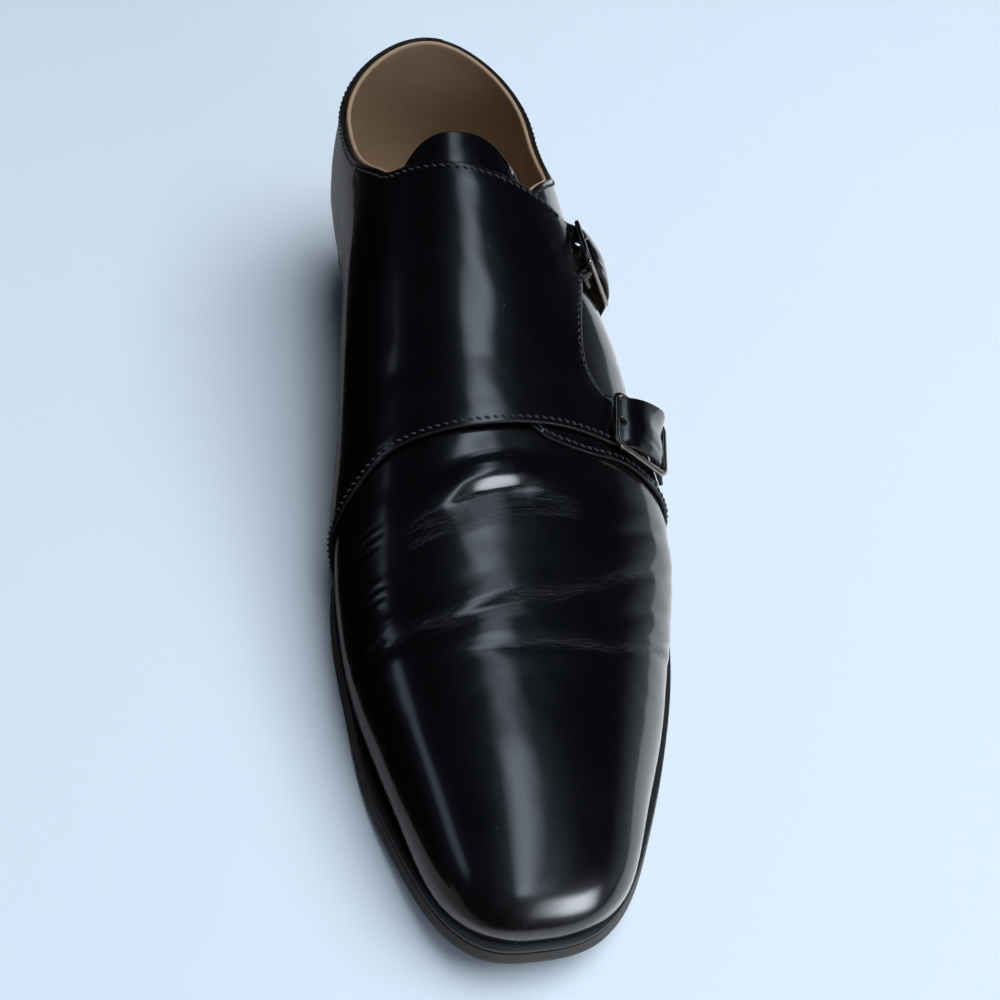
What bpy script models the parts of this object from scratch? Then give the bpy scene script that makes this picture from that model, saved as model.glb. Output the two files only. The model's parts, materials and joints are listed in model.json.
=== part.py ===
"""Double monk strap shoe, left foot, men's EU 43: sole, heel, upper, quarters, straps and two buckles.

The toe points along -Y, the outer side of the foot lies towards +X and the ground is Z = 0.
Everything is worked out from one last (the foot form), described below by its cross-sections.
Lengths in this file are millimetres until a mesh is written, where MM turns them into metres.
"""

import math

import bmesh
import bpy
import numpy as np
from mathutils import Matrix, Vector, geometry

MM = 0.001

# ---------------------------------------------------------------- driving dimensions
SOLE_LENGTH = 308.0
HEEL_CENTRE = 268.0        # the last's sections fan round this point behind it
BREAST = 232.0             # front face of the heel, from the toe tip
HEEL_HEIGHT = 22.0         # ground to outsole under the heel
TOE_SPRING = 12.0
TREAD = (95.0, 125.0)      # the stretch of forefoot that lies flat on the ground
OUTSOLE_THICK = 5.0
WELT_THICK = 2.7
GAP = 0.3                  # air between two pieces that touch
OVERLAY_GAP = 0.4          # the same under a curved overlay, before faceting takes its share
FEATHER_RISE = OUTSOLE_THICK + GAP + WELT_THICK + GAP

TOE_INSET = 4.0            # welt left showing in front of the upper
HEEL_INSET = 2.5
NOSE_END = 55.5            # the toe's rounding is over by here
FEATHER_NOSE = 2.45        # superellipse exponents of the toe outline
SOLE_NOSE = 2.80
HEEL_ROUND = 2.15

WALL = 2.0                 # vamp and lining together
QUARTER = 1.2              # leather of the outer quarter
STRAP = 1.4                # leather of the inner quarter and its two straps
TONGUE = 2.5
INSOLE = 2.5

# The last, one row per cross-section: distance from the toe tip, half widths of the sole edge and
# of the feather line (where the upper meets the welt) on the inner and outer side, how far the
# upper swells past the feather line on each side and how high above it, the sideways shift and
# height of the crown, and the two exponents that set how flat the crown and the flank are.
LAST_COLUMNS = ("along", "sole_in", "sole_out", "feather_in", "feather_out", "swell_in",
                "swell_out", "swell_up", "ridge", "crown", "flat_crown", "flat_flank")
LAST = (
    (5.5, 30.3, 34.4, 30.2, 38.0, 1.0, 0.4, 9.0, -1.0, 40.0, 2.50, 2.00),
    (30.0, 33.5, 40.0, 30.4, 35.5, 1.5, 1.4, 10.0, -1.0, 44.5, 2.50, 2.00),
    (55.0, 39.6, 49.7, 35.0, 42.7, 1.8, 1.8, 12.0, -1.5, 47.0, 2.45, 2.00),
    (80.0, 42.8, 58.5, 40.3, 50.2, 2.0, 2.4, 14.0, -2.5, 50.5, 2.40, 2.00),
    (105.0, 45.2, 63.2, 42.0, 56.0, 2.4, 3.4, 17.0, -3.0, 56.5, 2.30, 1.95),
    (130.0, 43.8, 61.4, 39.0, 56.0, 4.5, 4.6, 21.0, -3.0, 65.0, 2.20, 1.90),
    (155.0, 37.4, 54.2, 33.0, 49.5, 7.0, 5.6, 25.0, -3.0, 75.5, 2.15, 1.85),
    (180.0, 32.2, 46.2, 28.5, 42.0, 9.0, 6.6, 29.0, -2.5, 87.0, 2.12, 1.80),
    (205.0, 29.6, 40.2, 26.5, 36.5, 8.6, 6.8, 29.0, -2.0, 99.0, 2.10, 1.80),
    (235.0, 30.6, 36.4, 28.0, 33.5, 6.2, 5.6, 24.0, -1.0, 115.0, 2.10, 1.85),
    (268.0, 33.5, 34.5, 31.0, 32.0, 4.0, 4.0, 19.0, 0.0, 132.0, 2.20, 1.90),
)

# Height of the topline. Where it passes the crown the upper is closed over the instep. Behind the
# heel centre the first column goes on in degrees round the heel, up to 90 at the back seam.
TOPLINE_COLUMNS = ("along", "inner", "outer")
TOPLINE = (
    (172.0, 85.5, 85.5),
    (178.0, 85.0, 85.0),
    (190.0, 88.4, 88.4),
    (203.0, 94.0, 93.6),
    (213.0, 96.2, 94.8),
    (221.0, 95.0, 92.2),
    (230.0, 91.0, 87.0),
    (240.0, 86.4, 82.2),
    (252.0, 83.2, 79.6),
    (268.0, 82.2, 79.6),
    (298.0, 84.6, 83.0),
    (328.0, 90.0, 89.2),
    (358.0, 94.0, 94.0),
)
THROAT = 178.6             # front end of the opening on the crown

# Edges of the overlays as (along, round): distance from the toe tip, and girth from the crown,
# positive towards the outer side. FEATHER stands for the seam at the welt.
FEATHER = 999.0
STRAP_HALF = 6.9
STRAP_CENTRES = {"front": 143.0, "rear": 202.0}
BUCKLE_CENTRES = {"front": (142.0, 54.5), "rear": (202.0, 51.5)}
STRAP_TAIL = 17.5          # strap past the buckle's centre
INNER_FRONT_EDGE = ((120.0, -FEATHER), (123.2, -66.0), (127.6, -46.0), (131.4, -35.5),
                    (135.3, -28.0), (136.6, -16.0), (137.4, 0.0), (137.9, 20.0), (138.0, 40.0))
STRAP_FORK = ((150.4, 46.0), (152.6, 41.2), (157.6, 37.8), (165.5, 36.8), (175.0, 37.8),
              (184.0, 40.0), (191.0, 43.0), (194.6, 46.0))
INNER_REAR_EDGE = ((209.2, 36.0), (210.4, 22.0), (212.6, 8.0), (215.0, -6.0))
OUTER_FRONT_EDGE = ((121.0, FEATHER), (125.6, 80.0), (129.4, 60.2), (131.3, 46.5), (130.9, 37.0),
                    (132.2, 27.0), (134.6, 20.0), (138.5, 15.6))
FACING = 15.0              # outer quarter's inner edge, under the straps
TONGUE_EDGE = ((150.0, 12.0), (156.0, 19.0), (175.0, 22.5), (204.0, 26.0), (218.0, 25.0),
               (224.0, 17.0), (226.0, 0.0))

BUCKLE_LONG = 25.4         # along the strap
BUCKLE_WIDE = 21.0
BUCKLE_RAIL = 1.9
BUCKLE_THICK = 1.6
BAR_RADIUS = 0.8
BUCKLE_RISE = {"front": 5.0, "rear": 5.4}    # last surface to the frame's middle plane
PRONG_RADIUS = 0.45
TAB_THICK = 0.6
HUMP_OVER_FRAME = 1.3      # strap over the centre bar, more than the frame's rise
HUMP_REACH = 9.6           # half length of the strap's hump

BLACK_LEATHER = ((0.018, 0.019, 0.021, 1.0), 0.22, 0.0)
EDGE_BLACK = ((0.022, 0.022, 0.024, 1.0), 0.45, 0.0)
RUBBER_BLACK = ((0.030, 0.030, 0.032, 1.0), 0.65, 0.0)
LINING_TAN = ((0.36, 0.25, 0.16, 1.0), 0.60, 0.0)
GUNMETAL = ((0.34, 0.35, 0.36, 1.0), 0.18, 1.0)


# ---------------------------------------------------------------- curves and tables
def cubic(xs, ys, level_end=False):
    """Natural cubic through the points, as a function; level_end makes it arrive with no slope."""
    xs = np.asarray(xs, float)
    ys = np.asarray(ys, float)
    steps = np.diff(xs)
    count = len(xs)
    matrix = np.zeros((count, count))
    right = np.zeros(count)
    matrix[0, 0] = matrix[-1, -1] = 1.0
    for i in range(1, count - 1):
        matrix[i, i - 1] = steps[i - 1]
        matrix[i, i] = 2.0 * (steps[i - 1] + steps[i])
        matrix[i, i + 1] = steps[i]
        right[i] = 6.0 * ((ys[i + 1] - ys[i]) / steps[i] - (ys[i] - ys[i - 1]) / steps[i - 1])
    if level_end:
        matrix[-1, -2] = steps[-1]
        matrix[-1, -1] = 2.0 * steps[-1]
        right[-1] = -6.0 * (ys[-1] - ys[-2]) / steps[-1]
    bend = np.linalg.solve(matrix, right)

    def value(x):
        x = np.asarray(x, float)
        i = np.clip(np.searchsorted(xs, x) - 1, 0, count - 2)
        a = (xs[i + 1] - x) / steps[i]
        b = (x - xs[i]) / steps[i]
        curve = ((a ** 3 - a) * bend[i] + (b ** 3 - b) * bend[i + 1]) * steps[i] ** 2 / 6.0
        return a * ys[i] + b * ys[i + 1] + curve

    return value


def table_curves(columns, rows, level_end=False):
    """One curve per named column of a table, over its first column."""
    data = np.array(rows)
    return {name: cubic(data[:, 0], data[:, k], level_end) for k, name in enumerate(columns)}


def smooth_path(points, spacing):
    """A curve through a few (along, round) points, resampled to an even spacing."""
    points = np.asarray(points, float)
    length = np.concatenate([[0.0], np.cumsum(np.linalg.norm(np.diff(points, axis=0), axis=1))])
    curves = [cubic(length, points[:, k]) for k in range(points.shape[1])]
    count = max(2, int(round(length[-1] / spacing)) + 1)
    where = np.linspace(0.0, length[-1], count)
    return np.stack([curve(where) for curve in curves], axis=1)


def smoothstep(low, high, x):
    u = np.clip((np.asarray(x, float) - low) / (high - low), 0.0, 1.0)
    return u * u * (3.0 - 2.0 * u)


SHAPE = table_curves(LAST_COLUMNS, LAST, level_end=True)
RIM = table_curves(TOPLINE_COLUMNS, TOPLINE, level_end=True)


# ---------------------------------------------------------------- the last
def underside(along):
    """Height of the outsole's bottom: toe spring, flat tread, shank and heel seat."""
    along = np.asarray(along, float)
    spring = TOE_SPRING * (np.clip(TREAD[0] - along, 0.0, None) / TREAD[0]) ** 2
    return spring + HEEL_HEIGHT * smoothstep(TREAD[1], BREAST, along)


def nose_share(along, start, exponent):
    """Share of the full half width reached this far behind the toe tip at start."""
    u = np.clip((along - start) / (NOSE_END - start), 0.0, 1.0)
    return (1.0 - (1.0 - u) ** exponent) ** (1.0 / exponent)


def heel_radius(half_width, depth, angle):
    side = np.abs(np.cos(angle)) / half_width
    back = np.abs(np.sin(angle)) / depth
    return (side ** HEEL_ROUND + back ** HEEL_ROUND) ** (-1.0 / HEEL_ROUND)


def outline(kind, side, inset, nose_steps=10, side_step=8.0, heel_steps=9, from_along=0.0):
    """Half outline (x, y) from the toe tip to the back of the heel, kind 'sole' or 'feather'."""
    start = inset + (TOE_INSET if kind == "feather" else 0.0)
    exponent = FEATHER_NOSE if kind == "feather" else SOLE_NOSE
    column = SHAPE[kind + ("_out" if side > 0 else "_in")]
    turn = np.linspace(0.0, math.pi / 2, nose_steps + 1)
    nose = start + (NOSE_END - start) * (1.0 - np.cos(turn) ** (2.0 / exponent))
    count = int((HEEL_CENTRE - NOSE_END) / side_step)
    flank = np.linspace(NOSE_END, HEEL_CENTRE, count + 1)[1:]
    along = np.concatenate([nose, flank])
    if from_along > 0.0:
        along = np.concatenate([[from_along], along[along > from_along + 1.0]])
    half = (column(np.maximum(along, LAST[0][0])) - inset) * nose_share(along, start, exponent)
    points = np.stack([side * half, along], axis=1)
    angle = np.linspace(0.0, math.pi / 2, heel_steps + 1)[1:]
    depth = SOLE_LENGTH - HEEL_CENTRE - inset - (HEEL_INSET if kind == "feather" else 0.0)
    radius = heel_radius(float(column(HEEL_CENTRE)) - inset, depth, angle)
    back = np.stack([side * radius * np.cos(angle), HEEL_CENTRE + radius * np.sin(angle)], axis=1)
    return np.concatenate([points, back])


def section(side, along, steps=48):
    """Half sections of the upper's outer face, from the feather line up to the crown."""
    along = np.atleast_1d(np.asarray(along, float))
    station = np.minimum(along, HEEL_CENTRE)
    angle = np.radians(np.maximum(along - HEEL_CENTRE, 0.0))
    row = {name: curve(station) for name, curve in SHAPE.items()}
    share = nose_share(station, TOE_INSET, FEATHER_NOSE)
    tag = "_out" if side > 0 else "_in"
    half = np.maximum(row["feather" + tag] * share, 1e-6)
    swell = row["swell" + tag] * share
    swell_up = row["swell_up"] * share
    depth = SOLE_LENGTH - HEEL_INSET - HEEL_CENTRE
    foot = np.where(angle > 0.0, heel_radius(half, depth, angle), half)
    foot_y = np.where(angle > 0.0, HEEL_CENTRE + foot * np.sin(angle), station)
    foot_z = underside(np.minimum(foot_y, SOLE_LENGTH)) + FEATHER_RISE
    top = foot_z + (row["crown"] - foot_z) * share
    up = np.linspace(0.0, 1.0, steps // 3, endpoint=False)[None]
    low_r = foot[:, None] + swell[:, None] * (1.0 - (1.0 - up) ** 2)
    low_z = foot_z[:, None] + swell_up[:, None] * up
    turn = np.linspace(0.0, math.pi / 2, steps)[None]
    wide = (foot + swell)[:, None]
    wide_z = (foot_z + swell_up)[:, None]
    high_r = wide * np.cos(turn) ** (2.0 / row["flat_crown"][:, None])
    high_z = wide_z + (top[:, None] - wide_z) * np.sin(turn) ** (2.0 / row["flat_flank"][:, None])
    radius = np.concatenate([low_r, high_r], axis=1)
    height = np.concatenate([low_z, high_z], axis=1)
    lean = np.concatenate([np.zeros_like(low_r), 1.0 - high_r / wide], axis=1)
    fan = angle[:, None] > 0.0
    ridge = (row["ridge"] * share)[:, None]
    x = side * radius * np.cos(angle)[:, None] + np.where(fan, 0.0, ridge * lean)
    y = np.where(fan, HEEL_CENTRE + radius * np.sin(angle)[:, None], station[:, None])
    return np.stack([x, y, height], axis=-1)


def from_crown(side, along, girth):
    """Points at a girth measured from the crown down one side of the sections."""
    curves = section(side, along)[:, ::-1]
    girth = np.broadcast_to(np.abs(np.asarray(girth, float)), (len(curves),))
    steps = np.linalg.norm(np.diff(curves, axis=1), axis=2)
    length = np.concatenate([np.zeros((len(curves), 1)), np.cumsum(steps, axis=1)], axis=1)
    points = [[np.interp(girth[i], length[i], curves[i, :, k]) for k in range(3)]
              for i in range(len(curves))]
    return np.array(points)


def full_girth(side, along):
    curves = section(side, along)
    return np.linalg.norm(np.diff(curves, axis=1), axis=2).sum(axis=1)


def rim_girth(side, along):
    """Girth from the crown to the topline, 0 where the upper is closed over the instep."""
    along = np.atleast_1d(np.asarray(along, float))
    height = RIM["outer" if side > 0 else "inner"](np.clip(along, TOPLINE[0][0], None))
    curves = section(side, along)[:, ::-1]
    steps = np.linalg.norm(np.diff(curves, axis=1), axis=2)
    length = np.concatenate([np.zeros((len(curves), 1)), np.cumsum(steps, axis=1)], axis=1)
    found = [np.interp(-height[i], -curves[i, :, 2], length[i]) for i in range(len(curves))]
    return np.where(along < THROAT + 0.01, 0.0, np.array(found))


def skin(along, girth, offset=0.0):
    """Points of the last's surface at signed girths, moved out along the surface by offset."""
    along = np.atleast_1d(np.asarray(along, float))
    girth = np.broadcast_to(np.asarray(girth, float), along.shape)
    step = 0.6

    def at(a, g):
        outer = from_crown(1, a, np.maximum(g, 0.0))
        inner = from_crown(-1, a, np.maximum(-g, 0.0))
        return np.where((g >= 0.0)[:, None], outer, inner)

    here = at(along, girth)
    nearer = np.maximum(along - step, TOE_INSET + 0.01)
    further = np.minimum(along + step, HEEL_CENTRE + 90.0)
    lengthwise = at(further, girth) - at(nearer, girth)
    around = at(along, girth + step) - at(along, girth - step)
    normal = np.cross(around, lengthwise)
    normal /= np.linalg.norm(normal, axis=1)[:, None] + 1e-12
    return here + normal * np.broadcast_to(offset, along.shape)[:, None], normal


# ---------------------------------------------------------------- Blender objects
def clear_scene():
    for thing in list(bpy.data.objects):
        bpy.data.objects.remove(thing, do_unlink=True)


def make_material(name, look):
    colour, roughness, metallic = look
    material = bpy.data.materials.new(name)
    material.use_nodes = True
    shader = material.node_tree.nodes["Principled BSDF"]
    shader.inputs["Base Color"].default_value = colour
    shader.inputs["Roughness"].default_value = roughness
    shader.inputs["Metallic"].default_value = metallic
    material.diffuse_color = colour
    return material


def link(name, mesh, look):
    shape = bpy.data.objects.new(name, mesh)
    mesh.materials.append(make_material(name, look))
    PARTS.objects.link(shape)
    return shape


class Skin:
    """Collects faces by their corner points, merges equal points and writes a mesh."""

    def __init__(self):
        self.points = []
        self.index = {}
        self.faces = []

    def vertex(self, point):
        key = tuple(int(round(value * 2000.0)) for value in point)
        if key not in self.index:
            self.index[key] = len(self.points)
            self.points.append([value * MM for value in point])
        return self.index[key]

    def face(self, corners):
        ring = []
        for corner in corners:
            number = self.vertex(corner)
            if number not in ring:
                ring.append(number)
        if len(ring) > 2:
            self.faces.append(ring)

    def grid(self, rows):
        for low, high in zip(rows[:-1], rows[1:]):
            for k in range(len(low) - 1):
                self.face((low[k], low[k + 1], high[k + 1], high[k]))

    def write(self, name, look, sharp=35.0):
        mesh = bpy.data.meshes.new(name)
        mesh.from_pydata(self.points, [], self.faces)
        work = bmesh.new()
        work.from_mesh(mesh)
        bmesh.ops.recalc_face_normals(work, faces=work.faces)
        work.to_mesh(mesh)
        work.free()
        mesh.shade_smooth()
        mesh.set_sharp_from_angle(angle=math.radians(sharp))
        return link(name, mesh, look)


def with_height(flat, height):
    return np.column_stack([flat, np.broadcast_to(height, len(flat))])


def slab(name, look, layers):
    """A plate lofted through layers of (outer half, inner half) outlines, toe to heel, closed."""
    body = Skin()
    for low, high in zip(layers[:-1], layers[1:]):
        for k in (0, 1):
            body.grid((low[k], high[k]))
        body.face((low[0][-1], low[1][-1], high[1][-1], high[0][-1]))
        body.face((low[0][0], low[1][0], high[1][0], high[0][0]))
    for cap in (layers[0], layers[-1]):
        body.grid(cap)
    return body.write(name, look)


# ---------------------------------------------------------------- bottom of the shoe
def sole_layer(kind, inset, rise, **options):
    """One layer of a sole plate: both half outlines at a height above the outsole's bottom."""
    halves = []
    for side in (1, -1):
        flat = outline(kind, side, inset, **options)
        halves.append(with_height(flat, underside(np.minimum(flat[:, 1], SOLE_LENGTH)) + rise))
    return halves


def make_outsole():
    layers = [sole_layer("sole", inset, rise)
              for inset, rise in ((1.1, 0.0), (0.1, 0.9), (0.1, OUTSOLE_THICK - 1.2), (1.0, OUTSOLE_THICK))]
    return slab("outsole", EDGE_BLACK, layers)


def make_welt():
    """A strip all round, between the outsole's edge and the inside of the feather line."""
    low = OUTSOLE_THICK + GAP
    high = low + WELT_THICK
    rings = (("sole", 2.3, low), ("sole", 1.6, low + 0.6), ("sole", 1.6, high - 0.6), ("sole", 2.2, high),
             ("feather", 6.0, high), ("feather", 6.0, low))
    body = Skin()
    layers = [sole_layer(kind, inset, rise) for kind, inset, rise in rings]
    for lower, upper in zip(layers, layers[1:] + layers[:1]):
        for k in (0, 1):
            body.grid((lower[k], upper[k]))
    return body.write("welt", EDGE_BLACK)


def heel_ring(inset, height, breast):
    """Closed outline of the heel at one height: flat breast in front, round at the back."""
    outer = outline("sole", 1, inset, side_step=9.0, from_along=breast)
    inner = outline("sole", -1, inset, side_step=9.0, from_along=breast)
    ring = np.concatenate([outer, inner[::-1][1:]])
    return with_height(ring, height)


def make_heel_piece(name, look, rings):
    body = Skin()
    for low, high in zip(rings[:-1], rings[1:]):
        for k in range(len(low)):
            n = (k + 1) % len(low)
            body.face((low[k], low[n], high[n], high[k]))
    body.faces.append([body.vertex(point) for point in rings[0]])
    body.faces.append([body.vertex(point) for point in rings[-1]])
    return body.write(name, look)


def make_heel():
    lift_top = 6.0
    stack = [heel_ring(2.6, lift_top + GAP, BREAST + 3.0), heel_ring(1.2, HEEL_HEIGHT - 3.0, BREAST + 0.6),
             heel_ring(0.9, HEEL_HEIGHT - GAP, BREAST)]
    lift = [heel_ring(3.6, 0.0, BREAST + 3.8), heel_ring(2.9, 0.7, BREAST + 3.2),
            heel_ring(2.7, lift_top, BREAST + 3.0)]
    make_heel_piece("heel_stack", EDGE_BLACK, stack)
    make_heel_piece("heel_top_lift", RUBBER_BLACK, lift)


def make_insole():
    """Insole board with the filler below it that fills the welt's ring."""
    floor = OUTSOLE_THICK + GAP
    seat = FEATHER_RISE
    layers = [sole_layer("feather", inset, rise)
              for inset, rise in ((6.4, floor), (6.4, seat), (WALL + 0.8, seat), (WALL + 0.8, seat + INSOLE))]
    return slab("insole", LINING_TAN, layers)


# ---------------------------------------------------------------- upper
def upper_stations():
    turn = np.linspace(0.0, math.pi / 2, 10)
    nose = TOE_INSET + (NOSE_END - TOE_INSET) * (1.0 - np.cos(turn) ** (2.0 / FEATHER_NOSE))
    vamp = np.linspace(NOSE_END, THROAT, 17)[1:]
    throat = THROAT + np.array([0.7, 2.4, 5.4])
    rear = np.linspace(THROAT + 10.0, HEEL_CENTRE, 11)
    heel = HEEL_CENTRE + np.linspace(0.0, 90.0, 10)[1:]
    return np.concatenate([nose, vamp, throat, rear, heel])


def make_upper():
    """The lasted shell: one hollow body, open at the collar, the throat and underneath."""
    stations = upper_stations()
    rows_up = 8
    body = Skin()
    for side in (1, -1):
        full = full_girth(side, stations)
        rim = rim_girth(side, stations)
        outer_rows = []
        inner_rows = []
        for k in range(rows_up + 1):
            girth = side * (full + (rim - full) * k / rows_up)
            outer = skin(stations, girth)[0]
            inner = skin(stations, girth, -WALL)[0]
            outer[0] = (0.0, TOE_INSET, outer[0][2])
            inner[0] = outer[0] + np.array([0.0, WALL, 0.0])
            if k == 0:
                inner[:, 2] = outer[:, 2]
            if k == rows_up:
                closed = stations <= THROAT
                inner[closed, 0] = outer[closed, 0]
            inner[-1, 0] = 0.0
            outer_rows.append(outer)
            inner_rows.append(inner)
        body.grid(outer_rows)
        body.grid(inner_rows)
        body.grid((outer_rows[0], inner_rows[0]))
        start = int(np.searchsorted(stations, THROAT, side="right")) - 1
        body.grid((outer_rows[-1][start:], inner_rows[-1][start:]))
    return body.write("upper", BLACK_LEATHER, sharp=50.0)


def resolve(path):
    """Replace the FEATHER mark in an edge's points by the girth that stops short of the welt."""
    points = []
    for along, girth in path:
        if abs(girth) == FEATHER:
            side = 1 if girth > 0 else -1
            girth = side * (float(full_girth(side, along)[0]) - 1.4)
        points.append((along, girth))
    return points


def inside(point, rings):
    crossings = 0
    for ring in rings:
        for a, b in zip(ring, np.roll(ring, -1, axis=0)):
            if (a[1] > point[1]) != (b[1] > point[1]):
                if point[0] < a[0] + (point[1] - a[1]) * (b[0] - a[0]) / (b[1] - a[1]):
                    crossings += 1
    return crossings % 2 == 1


def clear_of(point, rings, distance):
    for ring in rings:
        if np.min(np.linalg.norm(ring - point, axis=1)) < distance:
            return False
    return True


def patch(name, look, rings, spacing, low, thick, fine=()):
    """A piece of leather of the given thickness over the last: rings are its edge and its holes in
    (along, round), low its height above the last, fine a list of (box, spacing) of closer points."""
    corners = np.concatenate(rings)
    points = [tuple(p) for p in corners]
    edges = []
    start = 0
    for ring in rings:
        edges += [(start + k, start + (k + 1) % len(ring)) for k in range(len(ring))]
        start += len(ring)
    areas = [(corners.min(axis=0), corners.max(axis=0), spacing)]
    for box, step in fine:
        areas.append((np.array(box[0]), np.array(box[1]), step))
    for number, (least, most, step) in enumerate(areas):
        for i, a in enumerate(np.arange(least[0] + step / 2, most[0], step)):
            for g in np.arange(least[1] + step * (0.5 + 0.5 * (i % 2)), most[1], step):
                spot = np.array((a, g))
                covered = any(np.all(spot > area[0] - step * 0.3) and np.all(spot < area[1] + step * 0.3)
                              for area in areas[number + 1:])
                if not covered and inside(spot, rings) and clear_of(spot, rings, step * 0.55):
                    points.append((a, g))
    flat = [Vector(p) for p in points]
    found, _, triangles, *_ = geometry.delaunay_2d_cdt(flat, edges, [], 0, 1e-5)
    found = np.array([(p.x, p.y) for p in found])
    triangles = [t for t in triangles if inside(found[list(t)].mean(axis=0), rings)]
    lower = skin(found[:, 0], found[:, 1], low(found[:, 0], found[:, 1]))[0]
    upper = skin(found[:, 0], found[:, 1], low(found[:, 0], found[:, 1]) + thick)[0]
    body = Skin()
    used = {}
    for triangle in triangles:
        body.face([upper[k] for k in triangle])
        body.face([lower[k] for k in reversed(triangle)])
        for a, b in zip(triangle, triangle[1:] + triangle[:1]):
            used[(a, b)] = True
    for a, b in used:
        if (b, a) not in used:
            body.face((lower[a], lower[b], upper[b], upper[a]))
    return body.write(name, look, sharp=50.0)


def rim_path(side, first, last, spacing):
    along = np.linspace(first, last, max(2, int((last - first) / spacing) + 1))
    return np.stack([along, side * rim_girth(side, along)], axis=1)


def feather_path(side, first, last, spacing):
    along = np.linspace(first, last, max(2, int(abs(last - first) / spacing) + 1))
    return np.stack([along, side * (full_girth(side, along) - 1.4)], axis=1)


def tail(centre, end, spacing):
    """Edge of one strap from its front side round the square-cut tip to its rear side."""
    corner = 2.5
    front = centre - STRAP_HALF
    rear = centre + STRAP_HALF
    turn = np.radians([22.5, 45.0, 67.5])
    tip = [(front + corner * (1 - math.cos(a)), end - corner * (1 - math.sin(a))) for a in turn]
    back = [(2 * centre - a, g) for a, g in tip[::-1]]
    side = np.arange(46.0, end - corner, spacing)
    return np.array([(front, g) for g in side] + [(front, end - corner)] + tip
                    + [(front + corner, end), (rear - corner, end)] + back
                    + [(rear, end - corner)] + [(rear, g) for g in side[::-1]])


def prong_hole(which):
    centre, start = BUCKLE_CENTRES[which]
    return np.array([(centre - 1.1, start - 5.8), (centre + 1.1, start - 5.8), (centre + 1.1, start - 0.6),
                     (centre - 1.1, start - 0.6)])


def strap_height(along, girth):
    """Underside of the inner quarter: on the vamp, then over the outer quarter and the bars."""
    base = OVERLAY_GAP + (QUARTER + GAP) * smoothstep(2.0, 12.0, girth)
    for which, centre in STRAP_CENTRES.items():
        near = np.abs(along - centre) < STRAP_HALF + 3.0
        u = np.clip((girth - BUCKLE_CENTRES[which][1]) / HUMP_REACH, -1.0, 1.0)
        hump = BUCKLE_RISE[which] + HUMP_OVER_FRAME
        base = base + np.where(near, hump * 0.5 * (1.0 + np.cos(math.pi * u)), 0.0)
    return base


def make_inner_quarter():
    front = tail(STRAP_CENTRES["front"], BUCKLE_CENTRES["front"][1] + STRAP_TAIL, 2.5)
    rear = tail(STRAP_CENTRES["rear"], BUCKLE_CENTRES["rear"][1] + STRAP_TAIL, 2.5)
    seam = HEEL_CENTRE + 90.0 - 0.5
    edge = np.concatenate([
        smooth_path(resolve(INNER_FRONT_EDGE), 5.0),
        front,
        smooth_path(STRAP_FORK, 4.0)[1:-1],
        rear,
        smooth_path(INNER_REAR_EDGE, 5.0),
        rim_path(-1, 221.0, seam, 6.0),
        np.stack([np.full(8, seam), -np.linspace(float(rim_girth(-1, seam)[0]),
                                                 float(full_girth(-1, seam)[0]) - 1.4, 8)], axis=1)[1:],
        feather_path(-1, seam, 120.0, 7.0)[1:-1],
    ])
    fine = []
    for which in ("front", "rear"):
        centre = STRAP_CENTRES[which]
        start = BUCKLE_CENTRES[which][1]
        fine.append((((centre - 7.0, start - 12.0), (centre + 7.0, start + 12.0)), 2.4))
    return patch("inner_quarter", BLACK_LEATHER, [edge, prong_hole("front"), prong_hole("rear")], 7.0,
                 strap_height, STRAP, fine)


def make_outer_quarter():
    seam = HEEL_CENTRE + 90.0 - 0.5
    facing = np.array([(along, FACING) for along in np.arange(144.0, 194.0, 6.0)])
    edge = np.concatenate([
        smooth_path(resolve(OUTER_FRONT_EDGE), 5.0),
        facing,
        rim_path(1, 199.0, seam, 6.0),
        np.stack([np.full(8, seam), np.linspace(float(rim_girth(1, seam)[0]),
                                                float(full_girth(1, seam)[0]) - 1.4, 8)], axis=1)[1:],
        feather_path(1, seam, 118.0, 7.0)[1:-1],
    ])
    return patch("outer_quarter", BLACK_LEATHER, [edge], 7.0, lambda a, g: np.full(len(a), OVERLAY_GAP), QUARTER)


def make_tongue():
    side = smooth_path(TONGUE_EDGE, 5.0)
    mirror = side[::-1][1:] * np.array((1.0, -1.0))
    low = -(WALL + 1.5 * OVERLAY_GAP + TONGUE)
    return patch("tongue", BLACK_LEATHER, [np.concatenate([side, mirror])], 6.0,
                 lambda a, g: np.full(len(a), low), TONGUE)


# ---------------------------------------------------------------- buckles
def strap_frame(which):
    """Matrix at a buckle's centre: X along the strap to its tip, Y towards the heel, Z outwards."""
    along, girth = BUCKLE_CENTRES[which]
    middle, normal = skin([along], [girth], BUCKLE_RISE[which])
    ahead = skin([along], [girth + 1.0])[0][0] - skin([along], [girth - 1.0])[0][0]
    z_axis = Vector(normal[0])
    x_axis = Vector(ahead).normalized()
    x_axis = (x_axis - z_axis * x_axis.dot(z_axis)).normalized()
    y_axis = z_axis.cross(x_axis)
    frame = Matrix((x_axis, y_axis, z_axis)).transposed().to_4x4()
    frame.translation = Vector(middle[0]) * MM
    return frame


def rounded_rectangle(long_side, short_side, radius):
    points = []
    for cx, cy, start in ((1, 1, 0), (-1, 1, 90), (-1, -1, 180), (1, -1, 270)):
        for step in range(4):
            angle = math.radians(start + step * 30.0)
            points.append(((long_side / 2 - radius) * cx + radius * math.cos(angle),
                           (short_side / 2 - radius) * cy + radius * math.sin(angle)))
    return points


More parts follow.
